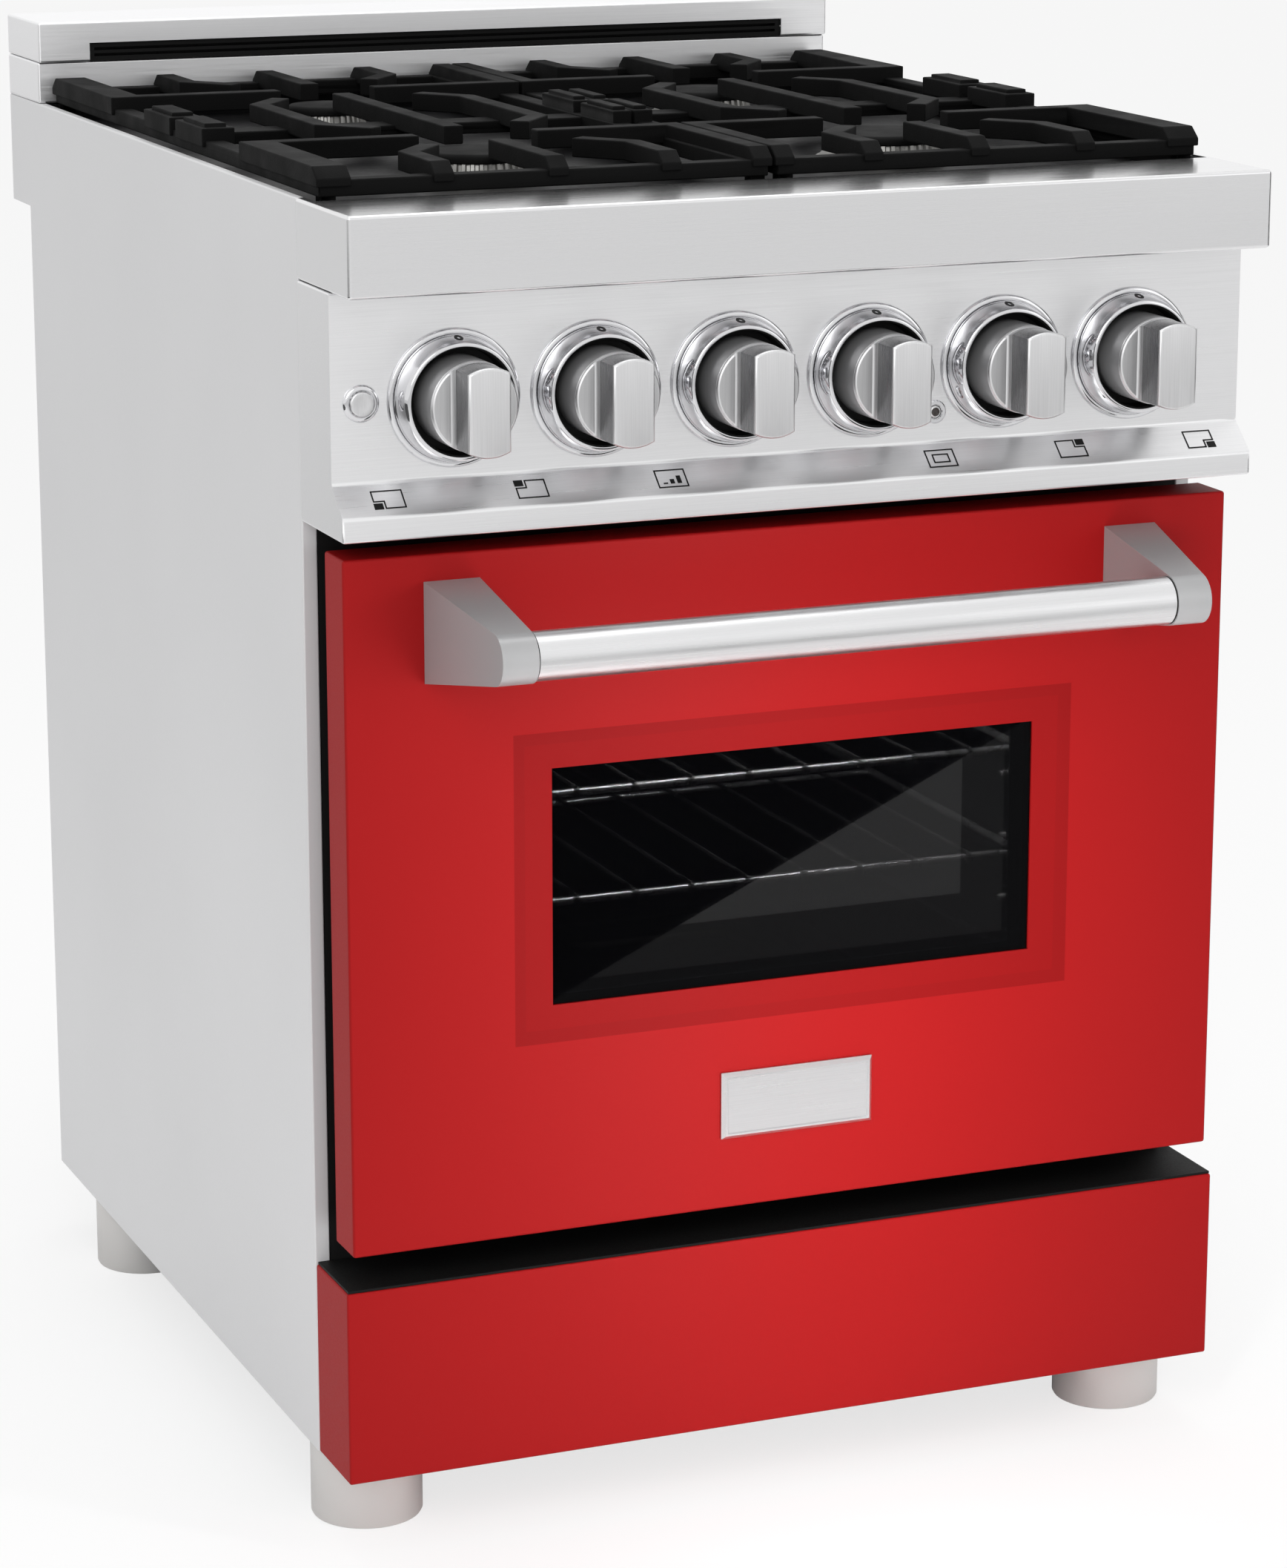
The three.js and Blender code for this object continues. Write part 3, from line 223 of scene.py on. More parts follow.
redTone = (0.3, 0.0054, 0.0061)
materials = {
    "railSteel": newFinish("brushed", "brushed_rail", tone(230, 230, 231), 0.21, 1),
    "fasciaSteel": newFinish("brushed", "brushed_fascia", tone(234, 234, 235), 0.34, 1),
    "capSteel": newFinish("brushed", "brushed_backguard", tone(238, 238, 239), 0.42, 1),
    "bracketSteel": newFinish("painted", "bracket_satin", tone(164, 164, 165), 0.34, 0.3),
    "tubeSteel": newFinish("brushed", "brushed_tube", tone(226, 226, 227), 0.32, 1),
    "badgeSteel": newFinish("brushed", "brushed_badge", tone(228, 228, 229), 0.32, 1),
    "side": newFinish("painted", "side_panel_finish", tone(216, 216, 217), 0.5, 0.3),
    "red": newFinish("painted", "satin_red", redTone, 0.5, gloss=0.12),
    # darker copies of the red for the faces in the pressing round the glass: painted shade
    "redPressingShade": newFinish("painted", "satin_red_pressing_painted_shade", shade(redTone, 0.8), 0.5, gloss=0.1),
    "redSlopeShade": newFinish("painted", "satin_red_slope_painted_shade", shade(redTone, 0.75), 0.5, gloss=0.1),
    "legs": newFinish("painted", "leg_satin", tone(208, 206, 204), 0.42, 0.5),
    "blackMatte": newFinish("painted", "matte_black", tone(15, 15, 15), 0.6, gloss=0.15),
    "tray": newFinish("painted", "hob_enamel", tone(14, 14, 15), 0.42, gloss=0.12, grain=200),
    "mark": newFinish("painted", "printed_black", tone(12, 12, 12), 0.5, gloss=0.2),
    "knob": newFinish("turned", "knob_face", tone(190, 190, 191), 0.32, 1),
    # a darker copy of the knob's steel for the grip's flanks: painted shade
    "knobFlankShade": newFinish("turned", "knob_flank_painted_shade", tone(140, 140, 141), 0.26, 1),
    "knobSide": newFinish("painted", "knob_side", tone(128, 128, 129), 0.36, 0.4, grain=300),
    # a paler copy of the steel: the lamp button's own colour, and a painted highlight on the knobs' rounded
    # edges
    "paleAndHighlight": newFinish("turned", "pale_steel_and_painted_highlight", tone(216, 216, 217), 0.36, 1),
    "iron": newFinish("cast", "cast_iron", tone(8, 8, 8), 0.66, gloss=0.1, grain=1100),
    "element": newFinish("plain", "element_sheath", tone(58, 56, 54), 0.5, 0.6, grain=300),
    "burner": newFinish("plain", "burner_alloy", tone(150, 149, 146), 0.45, 0.85, grain=500),
    "rubber": newFinish("plain", "seal_rubber", tone(30, 30, 31), 0.75, gloss=0.25, grain=700),
    "lens": newFinish("plain", "lens_plastic", tone(44, 38, 36), 0.2, grain=400),
    "lensRim": newFinish("plain", "lens_rim", tone(222, 222, 222), 0.3, 0.8, grain=400),
    "wire": newFinish("plain", "rack_wire", tone(232, 232, 233), 0.3, 0.8, grain=200),
    # a darker copy of the rack wire: painted shade on the wires that run back, and painted shadow gaps on
    # the hooks
    "wireShade": newFinish("plain", "rack_wire_painted_shade", tone(92, 92, 92), 0.5, 0.7, grain=200),
    "chrome": chromeFinish(),
    "zinc": zincSheet(),
    "oven": speckledEnamel(),
    "outerGlass": tintedGlass("outer_glass", 0.7),
    "innerGlass": tintedGlass("inner_glass", 0.12),
}
print("materials made:", len(materials))


# helpers for meshes

def piece(name, mesh, material, body, stands=(), smooth=35, place=None, extra=()):
    data = bpy.data.meshes.new(name)
    bmesh.ops.recalc_face_normals(mesh, faces=mesh.faces[:])
    mesh.to_mesh(data)
    mesh.free()
    if smooth:
        data.shade_smooth()
        data.set_sharp_from_angle(angle=math.radians(smooth))
    thing = bpy.data.objects.new(name, data)
    scene.collection.objects.link(thing)
    for key in (material, *extra):
        data.materials.append(materials[key])
    if place is not None:
        thing.location = place
    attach(thing, body)
    if stands:
        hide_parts(*stands)
    return thing


def circle(steps):
    turns = [2 * math.pi * k / steps for k in range(steps)]
    return [(math.cos(turn), math.sin(turn)) for turn in turns]


def quarter(count):  # the angles of a quarter turn, without its start
    return [math.pi / 2 * k / count for k in range(1, count + 1)]


def offsets(radius, height, points):  # points in mm, counted from a radius and a height
    return [(radius + out * mm, height + up * mm) for out, up in points]


def roundOver(radius, top, width, height, count):  # a rounded edge up to a top, without its first point
    return [(radius - width * (1 - math.cos(t)), top - height * (1 - math.sin(t))) for t in quarter(count)]


def addLathe(mesh, profile, steps=72, forward=True, place=(0, 0, 0)):
    # a profile of (radius, height), turned; forward means that height runs along -Y
    place = Vector(place)
    rows = []
    for radius, height in profile:
        points = [(radius * u, radius * v) for u, v in circle(steps)] if radius > close else [(0, 0)]
        rows.append([mesh.verts.new(place + Vector((u, -height, v) if forward else (u, v, height)))
                     for u, v in points])
    if len(rows[0]) > 1 and len(rows[-1]) > 1:
        rows.append(rows[0])  # a ring's section closes on itself
    for first, second in zip(rows, rows[1:]):
        for step in range(steps):
            after = (step + 1) % steps
            corners = [first[step % len(first)], first[after % len(first)],
                       second[after % len(second)], second[step % len(second)]]
            corners = list(dict.fromkeys(corners))
            if len(corners) > 2:
                mesh.faces.new(corners)
    return mesh


def addBands(mesh, rows):  # faces between each closed row of vertices and the next
    for first, second in zip(rows, rows[1:]):
        for k in range(len(first)):
            after = (k + 1) % len(first)
            mesh.faces.new([first[k], first[after], second[after], second[k]])
    return mesh


def addLoft(mesh, rows):  # rows of as many points each, capped at both ends
    made = [[mesh.verts.new(point) for point in row] for row in rows]
    addBands(mesh, made)
    mesh.faces.new(made[0][::-1])
    mesh.faces.new(made[-1])
    return mesh


def addTube(mesh, points, radius, sides=12):
    points = [Vector(point) for point in points]
    rows = []
    normal = None
    for before, point, after in zip([points[0], *points], points, [*points[1:], points[-1]]):
        along = (after - before).normalized()
        if normal is None:
            normal = along.orthogonal().normalized()
        normal = (normal - along * normal.dot(along)).normalized()
        across = along.cross(normal)
        rows.append([point + (normal * u + across * v) * radius for u, v in circle(sides)])
    return addLoft(mesh, rows)


def roundedPath(points, radius, steps=6):  # a line of points with its bends rounded
    points = [Vector(point) for point in points]
    path = [points[0]]
    for before, corner, after in zip(points, points[1:], points[2:]):
        first, second = (before - corner).normalized(), (after - corner).normalized()
        start, end = corner + first * radius, corner + second * radius
        for k in range(steps + 1):
            t = k / steps
            path.append(start * (1 - t) ** 2 + corner * 2 * t * (1 - t) + end * t ** 2)
    return path + [points[-1]]


def softened(thing):  # keeps large faces flat beside their rounded edges
    modifier = thing.modifiers.new("even_normals", "WEIGHTED_NORMAL")
    modifier.keep_sharp = True
    return thing


cleaning = {"weld": 0.005, "flat": 0.5}  # mm and degrees


def cadCopy(node):  # a CAD node's mesh without the edges that lie in its flat faces
    mesh = bmesh.new()
    mesh.from_mesh(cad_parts[node].data)
    bmesh.ops.remove_doubles(mesh, verts=mesh.verts[:], dist=cleaning["weld"] * mm)
    bmesh.ops.dissolve_limit(mesh, angle_limit=math.radians(cleaning["flat"]), verts=mesh.verts[:],
                             edges=mesh.edges[:], use_dissolve_boundaries=False)
    return mesh


def rounded(mesh, edges, offset, segments, profile=0.5):
    bmesh.ops.bevel(mesh, geom=edges, offset=offset, segments=segments, profile=profile, affect="EDGES",
                    clamp_overlap=True)
    return mesh


# sheet metal

folding = {"near": 0.05, "sharp": 15, "segments": 3, "smooth": 40}


def foldedSheet(node, material, body, fold):
    # the sheet part of a CAD node, with its outer folds rounded, apart from those at its back
    mesh = cadCopy(node)
    low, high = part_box(node)
    near, sharp = folding["near"] * mm, math.radians(folding["sharp"])
    chosen = []
    for edge in mesh.edges:
        a, b = edge.verts[0].co, edge.verts[1].co
        if abs(a.y - high.y) < near and abs(b.y - high.y) < near:
            continue
        if len(edge.link_faces) != 2 or abs(edge.calc_face_angle(0)) < sharp:
            continue
        shared = sum(abs(a[k] - side[k]) < near and abs(b[k] - side[k]) < near
                     for k in range(3) for side in (low, high))
        across = abs(min(a.x, b.x) - low.x) < near and abs(max(a.x, b.x) - high.x) < near
        if shared >= 2 or across:
            chosen.append(edge)
    rounded(mesh, chosen, fold, folding["segments"])
    return softened(piece(node + "_sheet", mesh, material, body, [node], smooth=folding["smooth"]))


sheets = {}
for node, material, slot, body, fold in [
    ("front_rail", "railSteel", "brushed_steel", "root", 2.2),
    ("control_fascia", "fasciaSteel", "brushed_steel", "root", 1.6),
    ("door_skin", "red", "red_finish", "door", 1.8),
    ("kick_panel", "red", "red_finish", "root", 1.8),
    ("side_panel_left", "side", "side_panel_grey", "root", 1.2),
    ("side_panel_right", "side", "side_panel_grey", "root", 1.2),
    ("backguard_riser", "capSteel", "brushed_steel", "root", 1.4),
    ("backguard_cap", "capSteel", "brushed_steel", "root", 1.8),
]:
    sheets[node] = foldedSheet(node, material, body, fold * mm)

# the pressing round the glass: how far it reaches, and the depths at which it starts, turns flat and ends;
# its faces get the darker red, painted shade
pressing = {"beside": 20, "above": 18, "start": 0.1, "floor": 2.3, "end": 4, "hidden": 6, "facing": 0.3}
skin = sheets["door_skin"].data
for key in ("redPressingShade", "redSlopeShade", "blackMatte"):
    skin.materials.append(materials[key])
glassLow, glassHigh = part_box("door_glass_outer")
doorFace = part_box("door_skin")[0].y
beside, above, begin, flat, end, hidden = (
    pressing[key] * mm for key in ("beside", "above", "start", "floor", "end", "hidden"))
for face in skin.polygons:
    middle, deep = face.center, face.center.y - doorFace
    inside = abs(middle.x) < glassHigh.x + beside and glassLow.z - above < middle.z < glassHigh.z + above
    # inside the pressing, the red darkened to 0.8 on its floor and to 0.75 on its slope is painted shade
    if inside and begin < deep < end and face.normal.y < 0:
        face.material_index = 1 if deep > flat else 2
    elif face.normal.y > pressing["facing"] and deep < hidden:  # the hidden side, dark behind the glass
        face.material_index = 3
print("sheet metal folded")

keptLooks = {
    "zinc": ("back_panel", "base_pan", "power_inlet_cover", "gas_manifold", "oven_controls",
             "hinge_arm_left", "hinge_arm_right"),
    "blackMatte": ("front_frame", "kick_top_plate", "vent_insert"),
    "oven": ("oven_liner", "door_inner_panel"),
    "outerGlass": ("door_glass_outer",),
    "innerGlass": ("door_glass_inner",),
    "rubber": ("door_gasket",),
    "tray": ("cooktop_tray",),
}
for material, nodes in keptLooks.items():
    for node in nodes:
        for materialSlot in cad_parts[node].material_slots:
            materialSlot.material = materials[material]


# knobs and their bezels; each section's points are outwards and forwards from a radius and a height, in mm

bigSteps, trimSteps, lensSteps = 96, 64, 48
knobCount = 6
knobShape = {
    "edge": 1.6,  # rounding round the front of the body
    "edgeRun": 1.4,  # that rounding's length, as a share of its width
    "rim": 1.2,  # where the side begins, as a share of that rounding
    "fillet": 3.2,  # hollow rounding where the grip meets the body
    "sink": 0.2,
    "gripHalf": 13.3,
    "gripInset": 0.5,
    "gripDepth": 25,
    "gripEdge": 1.8,
    "flank": (0.3, 0.01),  # how far its flanks, in the darker steel of painted shade, start below the fillet's end and stop before the edge
    "widest": 0.98,
    "arc": 14,
}


def knobMesh(radius, start, front, grip):
    edge, fillet, sink, half, ease = (
        knobShape[key] * mm for key in ("edge", "fillet", "sink", "gripHalf", "gripEdge"))
    bend = edge * knobShape["edgeRun"]
    reach = radius - knobShape["gripInset"] * mm
    mesh = bmesh.new()
    body = [(0, start), (radius - edge, start), (radius, start + edge), (radius, front - bend)]
    body += roundOver(radius, front, edge, bend, 4)
    addLathe(mesh, body + [(0, front)], bigSteps)
    for face in mesh.faces:  # the side of the body is darker, and its rounded rim pale, a painted highlight
        middle = face.calc_center_median()
        if math.hypot(middle.x, middle.z) > radius - edge * knobShape["rim"]:
            face.material_index = 3 if -middle.y < front - bend else 2
    turns = [0, *quarter(4)]
    levels = [(front - sink + fillet * (1 - math.cos(t)), half + fillet * (1 - math.sin(t)), reach)
              for t in turns]
    levels += [(grip - ease * (1 - math.sin(t)), half - ease * (1 - math.cos(t)),
                reach - ease * (1 - math.cos(t))) for t in turns]
    rows = []
    arc = knobShape["arc"]
    for y, width, out in levels:
        swing = math.asin(min(width / out, knobShape["widest"]))
        top = [(out * math.sin(turn), out * math.cos(turn))
               for turn in (-swing + 2 * swing * k / arc for k in range(arc + 1))]
        rows.append([(x, -y, z) for x, z in top] + [(-x, -y, -z) for x, z in top])
    first = len(mesh.faces)
    addLoft(mesh, rows)
    mesh.faces.ensure_lookup_table()
    below, before = (gap * mm for gap in knobShape["flank"])
    for face in mesh.faces[first:]:
        forward = -face.calc_center_median().y
        # the grip's flanks take the darker steel, painted shade, and its rounded edges and ends the pale
        # steel, a painted highlight
        face.material_index = 1 if front + fillet - below < forward < grip - ease - before else 2
    return mesh


bezelShape = {
    "flange": ((-0.4, 0), (0, 0.4), (0, 0.9), (-0.4, 1.6), (-1.2, 2), (-2.6, 2), (-2.7, 1.1), (-3.1, 1.1)),
    "coneFoot": (-3.2, 2.3),  # from the flange's edge
    "coneHead": (0.9, -0.9),  # from the crest
    "rim": ((0.2, -0.2), (-0.4, 0), (-1.6, 0), (-1.9, -0.5), (-2, -1.2)),
    "wall": -2.1,
    "floor": 3,
    "crestShare": 0.83,  # shares of the bezel's radius
    "holeShare": 0.6,
    "gap": 0.3,
}
wellShape = {"hole": 8, "floor": 3.1, "thick": 0.5, "side": -2.2, "wall": 0.4, "foot": -3.3, "drop": 1.3}
markRing = {"inner": 0.95, "outer": 2.6, "off": 0.02, "lift": 0.16, "stretch": 1.7, "up": 0.5, "steps": 28}


def coneLine(radius, height):  # the foot and the head of the cone's slope
    crest = radius * bezelShape["crestShare"]
    return offsets(radius, 0, [bezelShape["coneFoot"]]) + offsets(crest, height, [bezelShape["coneHead"]])


def bezelProfile(radius, height):
    crest, hole = radius * bezelShape["crestShare"], radius * bezelShape["holeShare"]
    wall, floor = bezelShape["wall"] * mm, bezelShape["floor"] * mm
    return [(hole, 0), *offsets(radius, 0, bezelShape["flange"]), *coneLine(radius, height),
            *offsets(crest, height, bezelShape["rim"]), (crest + wall, floor), (hole, floor)]


def wellProfile(radius, height):
    crest = radius * bezelShape["crestShare"]
    hole, floor, thick, side, wall, foot, drop = (value * mm for value in wellShape.values())
    return [(hole, floor), (crest + side, floor), (crest + side, height - drop),
            (crest + side - wall, height - drop), (crest + foot, floor + thick), (hole, floor + thick)]


def offMark(radius, height):  # the small ring printed at the top of the cone, round when seen from the front
    low, high = (Vector((0, -y, z)) for z, y in coneLine(radius, height))
    slope = (high - low).normalized()
    out = Vector((0, -abs(slope.z), abs(slope.y)))
    centre = low.lerp(high, markRing["up"]) + out * markRing["off"] * mm
    inner, outer, lift, stretch = (markRing[key] for key in ("inner", "outer", "lift", "stretch"))
    around = [Vector((u, 0, 0)) + slope * v * stretch for u, v in circle(markRing["steps"])]
    mesh = bmesh.new()
    rows = []
    for reach, raised in [(inner, 0), (inner, lift), (outer, lift), (outer, 0)]:
        rows.append([mesh.verts.new(centre + (out * raised + across * reach) * mm) for across in around])
    return addBands(mesh, rows + rows[:1])


bezelLow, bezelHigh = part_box("knob_bezel_1")
knobLow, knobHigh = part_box("knob_1")
panelY = bezelHigh.y + bezelShape["gap"] * mm
bezelRadius = (bezelHigh.x - bezelLow.x) / 2
bezelHeight = bezelHigh.y - bezelLow.y
knobRadius = (knobHigh.x - knobLow.x) / 2
gripFront = panelY - knobLow.y
bodyFront = gripFront - knobShape["gripDepth"] * mm
for index in range(1, knobCount + 1):
    centre = middleOf(f"knob_bezel_{index}")
    seat = Vector((centre.x, bezelHigh.y, centre.z))
    cone = addLathe(bmesh.new(), bezelProfile(bezelRadius, bezelHeight), bigSteps)
    piece(f"bezel_cone_{index}", cone, "chrome", "root", [f"knob_bezel_{index}"], place=seat)
    well = addLathe(bmesh.new(), wellProfile(bezelRadius, bezelHeight), bigSteps)
    piece(f"bezel_well_{index}", well, "blackMatte", "root", place=seat)
    piece(f"off_mark_{index}", offMark(bezelRadius, bezelHeight), "mark", "root", place=seat)
    knob = knobMesh(knobRadius, panelY - knobHigh.y, bodyFront, gripFront)
    piece(f"knob_grip_{index}", knob, "knob", f"knob_{index}", [f"knob_{index}"],
          place=Vector((centre.x, panelY, centre.z)), extra=("knobFlankShade", "paleAndHighlight", "knobSide"))
print("knobs and bezels turned:", knobCount)


# lamp button and indicator, each with its ring

buttonShape = {
    "radius": 7.5,
    "flange": ((2, 0), (2, 1.5), (0, 1.5)),
    "edge": 0.9,
    "dish": (0.2, 0.5),  # how far the face sinks part way in, and in its middle
    "dishShare": 0.6,
    "ring": ((0.35, 0.05), (3.8, 0.05), (3.8, 0.7), (3.1, 1.6), (2.2, 2), (0.85, 2), (0.35, 1.6)),
}
buttonLow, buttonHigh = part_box("lamp_button")
centre = middleOf("lamp_button")
seat = Vector((centre.x, panelY, centre.z))
radius, edge = buttonShape["radius"] * mm, buttonShape["edge"] * mm
front, back = panelY - buttonLow.y, panelY - buttonHigh.y
sunk, deepest = (depth * mm for depth in buttonShape["dish"])
profile = [(0, back), *offsets(radius, back, buttonShape["flange"]), (radius, front - edge)]
profile += roundOver(radius, front, edge, edge, 3)
profile += [(radius * buttonShape["dishShare"], front - sunk), (0, front - deepest)]
piece("lamp_push_button", addLathe(bmesh.new(), profile, trimSteps), "paleAndHighlight", "lamp_button",
      ["lamp_button"], place=seat)
ring = addLathe(bmesh.new(), offsets(radius, 0, buttonShape["ring"]), trimSteps)
piece("lamp_button_ring", ring, "chrome", "root", place=seat)

lensShape = {
    "dome": 1.5,
    "turns": (0.4, 0.8, 1.2),
    "rimShare": 0.8,
    "ring": ((0.3, 0.05), (3.4, 0.05), (3.4, 0.5), (2.6, 1.2), (0.9, 1.2), (0.3, 0.5)),
}
lensLow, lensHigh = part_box("indicator_lens")
centre = middleOf("indicator_lens")
radius, height, dome = (lensHigh.x - lensLow.x) / 2, lensHigh.y - lensLow.y, lensShape["dome"] * mm
profile = [(0, 0), (radius, 0), (radius, height - dome)]
profile += [(radius * math.cos(t), height - dome + dome * math.sin(t)) for t in lensShape["turns"]]
profile.append((0, height))
indicator = piece("indicator_dome", addLathe(bmesh.new(), profile, lensSteps), "lens", "root",
                  ["indicator_lens"], place=Vector((centre.x, lensHigh.y, centre.z)), extra=("lensRim",))
for face in indicator.data.polygons:
    if math.hypot(face.center.x, face.center.z) > radius * lensShape["rimShare"]:
        face.material_index = 1
ring = addLathe(bmesh.new(), offsets(radius, 0, lensShape["ring"]), trimSteps)
piece("indicator_ring", ring, "chrome", "root", place=Vector((centre.x, panelY, centre.z)))


# legs

corners = ("front_left", "front_right", "back_left", "back_right")
legShape = {
    "toe": ((-2.4, 0), (-0.8, 0.5), (0, 2)),
    "shoulder": ((0, -1.6), (-0.48, -0.48), (-1.6, 0)),
    "stud": 6,
    "clear": 0.3,  # under the kick panel
}
top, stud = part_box("kick_panel")[0].z - legShape["clear"] * mm, legShape["stud"] * mm
for corner in corners:
    low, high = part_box("leg_" + corner)
    centre = (low + high) / 2
    radius = (high.x - low.x) / 2
    profile = [(0, 0), *offsets(radius, 0, legShape["toe"]), *offsets(radius, top, legShape["shoulder"]),
               (stud, top), (stud, high.z), (0, high.z)]
    piece("foot_" + corner, addLathe(bmesh.new(), profile, bigSteps, forward=False), "legs", "root",
          ["leg_" + corner], place=Vector((centre.x, centre.y, 0)))


# handle

handleShape = {
    "wall": 2,
    "chamfer": 0.3,
    "edge": 2.2,
    "segments": 4,
    "sharp": 50,
    "collar": 1,
    "sweep": 13,  # how much narrower a bracket gets towards the tube
    "straight": 8,  # and how far from the door that starts
    "arc": 36,
}
seamShape = {"inside": 0.6, "outside": 0.25, "proud": 0.12}
tubeLow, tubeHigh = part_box("handle_tube")
tubeRadius = (tubeHigh.z - tubeLow.z) / 2
tubeCentre = (tubeLow + tubeHigh) / 2
tubeHalf = tubeHigh.x
wall, chamfer = handleShape["wall"] * mm, handleShape["chamfer"] * mm
section = [(tubeHalf - chamfer, tubeRadius), (tubeHalf, tubeRadius - chamfer), (tubeHalf, tubeRadius - wall)]
tubeMesh = bmesh.new()
rows = []
for x, radius in [(-x, radius) for x, radius in reversed(section)] + section:
    rows.append([tubeMesh.verts.new((x, tubeCentre.y + radius * u, tubeCentre.z + radius * v))
                 for u, v in circle(trimSteps)])
piece("handle_bar", addBands(tubeMesh, rows + rows[:1]), "tubeSteel", "door",
      ["handle_tube"])


def bracketMesh(side, low, high):
    edge, collar, sweep, straight = (
        handleShape[key] * mm for key in ("edge", "collar", "sweep", "straight"))
    foot = high.y
    half = (high.z - low.z) / 2
    radius = tubeRadius + collar
    reach = foot - tubeCentre.y
    lean = math.atan2(half, reach) + math.acos(radius / math.hypot(half, reach))
    steps = handleShape["arc"]
    outline = [(foot, tubeCentre.z - half), (foot, tubeCentre.z + half)]
    for k in range(steps + 1):
        t = lean + (2 * math.pi - 2 * lean) * k / steps
        outline.append((tubeCentre.y + radius * math.cos(t), tubeCentre.z + radius * math.sin(t)))
    inner, outer = (low.x, high.x) if side > 0 else (high.x, low.x)

    def outerAt(y):
        share = min(max((foot - straight - y) / (foot - straight - tubeCentre.y), 0), 1)
        return outer - side * sweep * share
    rows = [[(inner, y, z) for y, z in outline], [(outerAt(y), y, z) for y, z in outline]]
    mesh = addLoft(bmesh.new(), rows)
    rims = [line for line in mesh.edges if abs(line.calc_face_angle(0)) > math.radians(handleShape["sharp"])
            and not all(abs(vert.co.y - foot) < close for vert in line.verts)]
    bmesh.ops.bevel(mesh, geom=rims, offset=edge, segments=handleShape["segments"], profile=0.5,
                    affect="EDGES")
    return mesh


for word, side in (("left", -1), ("right", 1)):
    low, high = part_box("handle_bracket_" + word)
    softened(piece("handle_mount_" + word, bracketMesh(side, low, high), "bracketSteel", "door",
                   ["handle_bracket_" + word], smooth=40))
    inside, outside, proud = (seamShape[key] * mm for key in ("inside", "outside", "proud"))
    ends = [(side * x, tubeCentre.y, tubeCentre.z) for x in (tubeHalf - inside, tubeHalf + outside)]
    seam = addTube(bmesh.new(), ends, tubeRadius + proud, trimSteps)
    piece("handle_seam_" + word, seam, "blackMatte", "door")
print("handle built")


# badge plate, bare

badgeShape = {"edgeShare": 0.35, "face": ((2.4, 0.1), (3, 0), (3.7, 0), (4.3, 0.9))}  # inwards and back
plateLow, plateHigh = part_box("badge_plate")


def plateRow(inset, y):
    low, high = plateLow, plateHigh
    return [(low.x + inset, y, low.z + inset), (high.x - inset, y, low.z + inset),
            (high.x - inset, y, high.z - inset), (low.x + inset, y, high.z - inset)]


depth = plateHigh.y - plateLow.y
rows = [plateRow(0, plateHigh.y), plateRow(0, plateHigh.y - depth * badgeShape["edgeShare"])]
rows += [plateRow(inset * mm, plateLow.y + back * mm) for inset, back in badgeShape["face"]]
softened(piece("badge_blank", addLoft(bmesh.new(), rows), "badgeSteel", "door",
               ["badge_plate"], smooth=20))


# marks on the slanted strip, printed flat

stripShape = {"top": (-59, 686), "bottom": (-79, 668.5)}  # its edges, in the drafting frame's y and z
markShape = {
    "width": 19,
    "height": 13,
    "line": 0.9,
    "block": (6.6, 5.4),
    "clear": 1.4,
    "over": 0.6,
    "off": 0.02,
    "lift": 0.16,
    "every": 91,
    "inner": (5.2, 3),
    "bars": ((-6, -3), (-1.4, -0.6), (3.2, 1.8)),  # where each starts, and how high it ends
    "barWidth": 2.8,
    "barFoot": -4,
}
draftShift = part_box("control_fascia")[0].y - stripShape["bottom"][0] * mm
stripTop, stripBottom = (Vector((0, y * mm + draftShift, z * mm)) for y, z in stripShape.values())
stripUp = (stripTop - stripBottom).normalized()
stripOut = Vector((0, -stripUp.z, stripUp.y))
stripMiddle = (stripTop + stripBottom) / 2


def inked(mesh, x, u, v):  # a printed rectangle between two places across the strip and two up it
    base = stripMiddle + Vector((x, 0, 0))
    rows = []
    for out in (markShape["off"], markShape["lift"]):
        rows.append([base + Vector((a * mm, 0, 0)) + (stripUp * b + stripOut * out) * mm
                     for a, b in ((u[0], v[0]), (u[1], v[0]), (u[1], v[1]), (u[0], v[1]))])
    addLoft(mesh, rows)


def markLines(mesh, x, points):
    half = markShape["line"] / 2
    for (a, b), (c, d) in zip(points, points[1:]):
        inked(mesh, x, (min(a, c) - half, max(a, c) + half), (min(b, d) - half, max(b, d) + half))


def burnerMark(mesh, x, right, front):  # the hob's outline with the corner of one burner filled
    w, h = markShape["width"] / 2, markShape["height"] / 2
    bw, bh = markShape["block"]
    sx, sy = (1 if right else -1), (-1 if front else 1)
    markLines(mesh, x, [(-sx * w, sy * h), (-sx * w, -sy * h), (sx * w, -sy * h), (sx * w, sy * (h - bh)),
                        (sx * (w - bw), sy * (h - bh)), (sx * (w - bw), sy * h), (-sx * w, sy * h)])
    clear, over = markShape["clear"], markShape["over"]
    inked(mesh, x, sorted((sx * (w - bw + clear), sx * (w + over))),
          sorted((sy * (h - bh + clear), sy * (h + over))))


def boxMark(mesh, x, w, h):
    markLines(mesh, x, [(-w, -h), (w, -h), (w, h), (-w, h), (-w, -h)])


marks = bmesh.new()
every = markShape["every"] * mm
outer = (markShape["width"] / 2, markShape["height"] / 2)
burnerMark(marks, -3 * every, False, True)
burnerMark(marks, -2 * every, False, False)
boxMark(marks, -every, *outer)
for start, high in markShape["bars"]:
    inked(marks, -every, (start, start + markShape["barWidth"]), (markShape["barFoot"], high))
boxMark(marks, every, *outer)
boxMark(marks, every, *markShape["inner"])
burnerMark(marks, 2 * every, True, False)
burnerMark(marks, 3 * every, True, True)
piece("position_marks", marks, "mark", "root", smooth=0)
print("badge and marks placed")


# burners

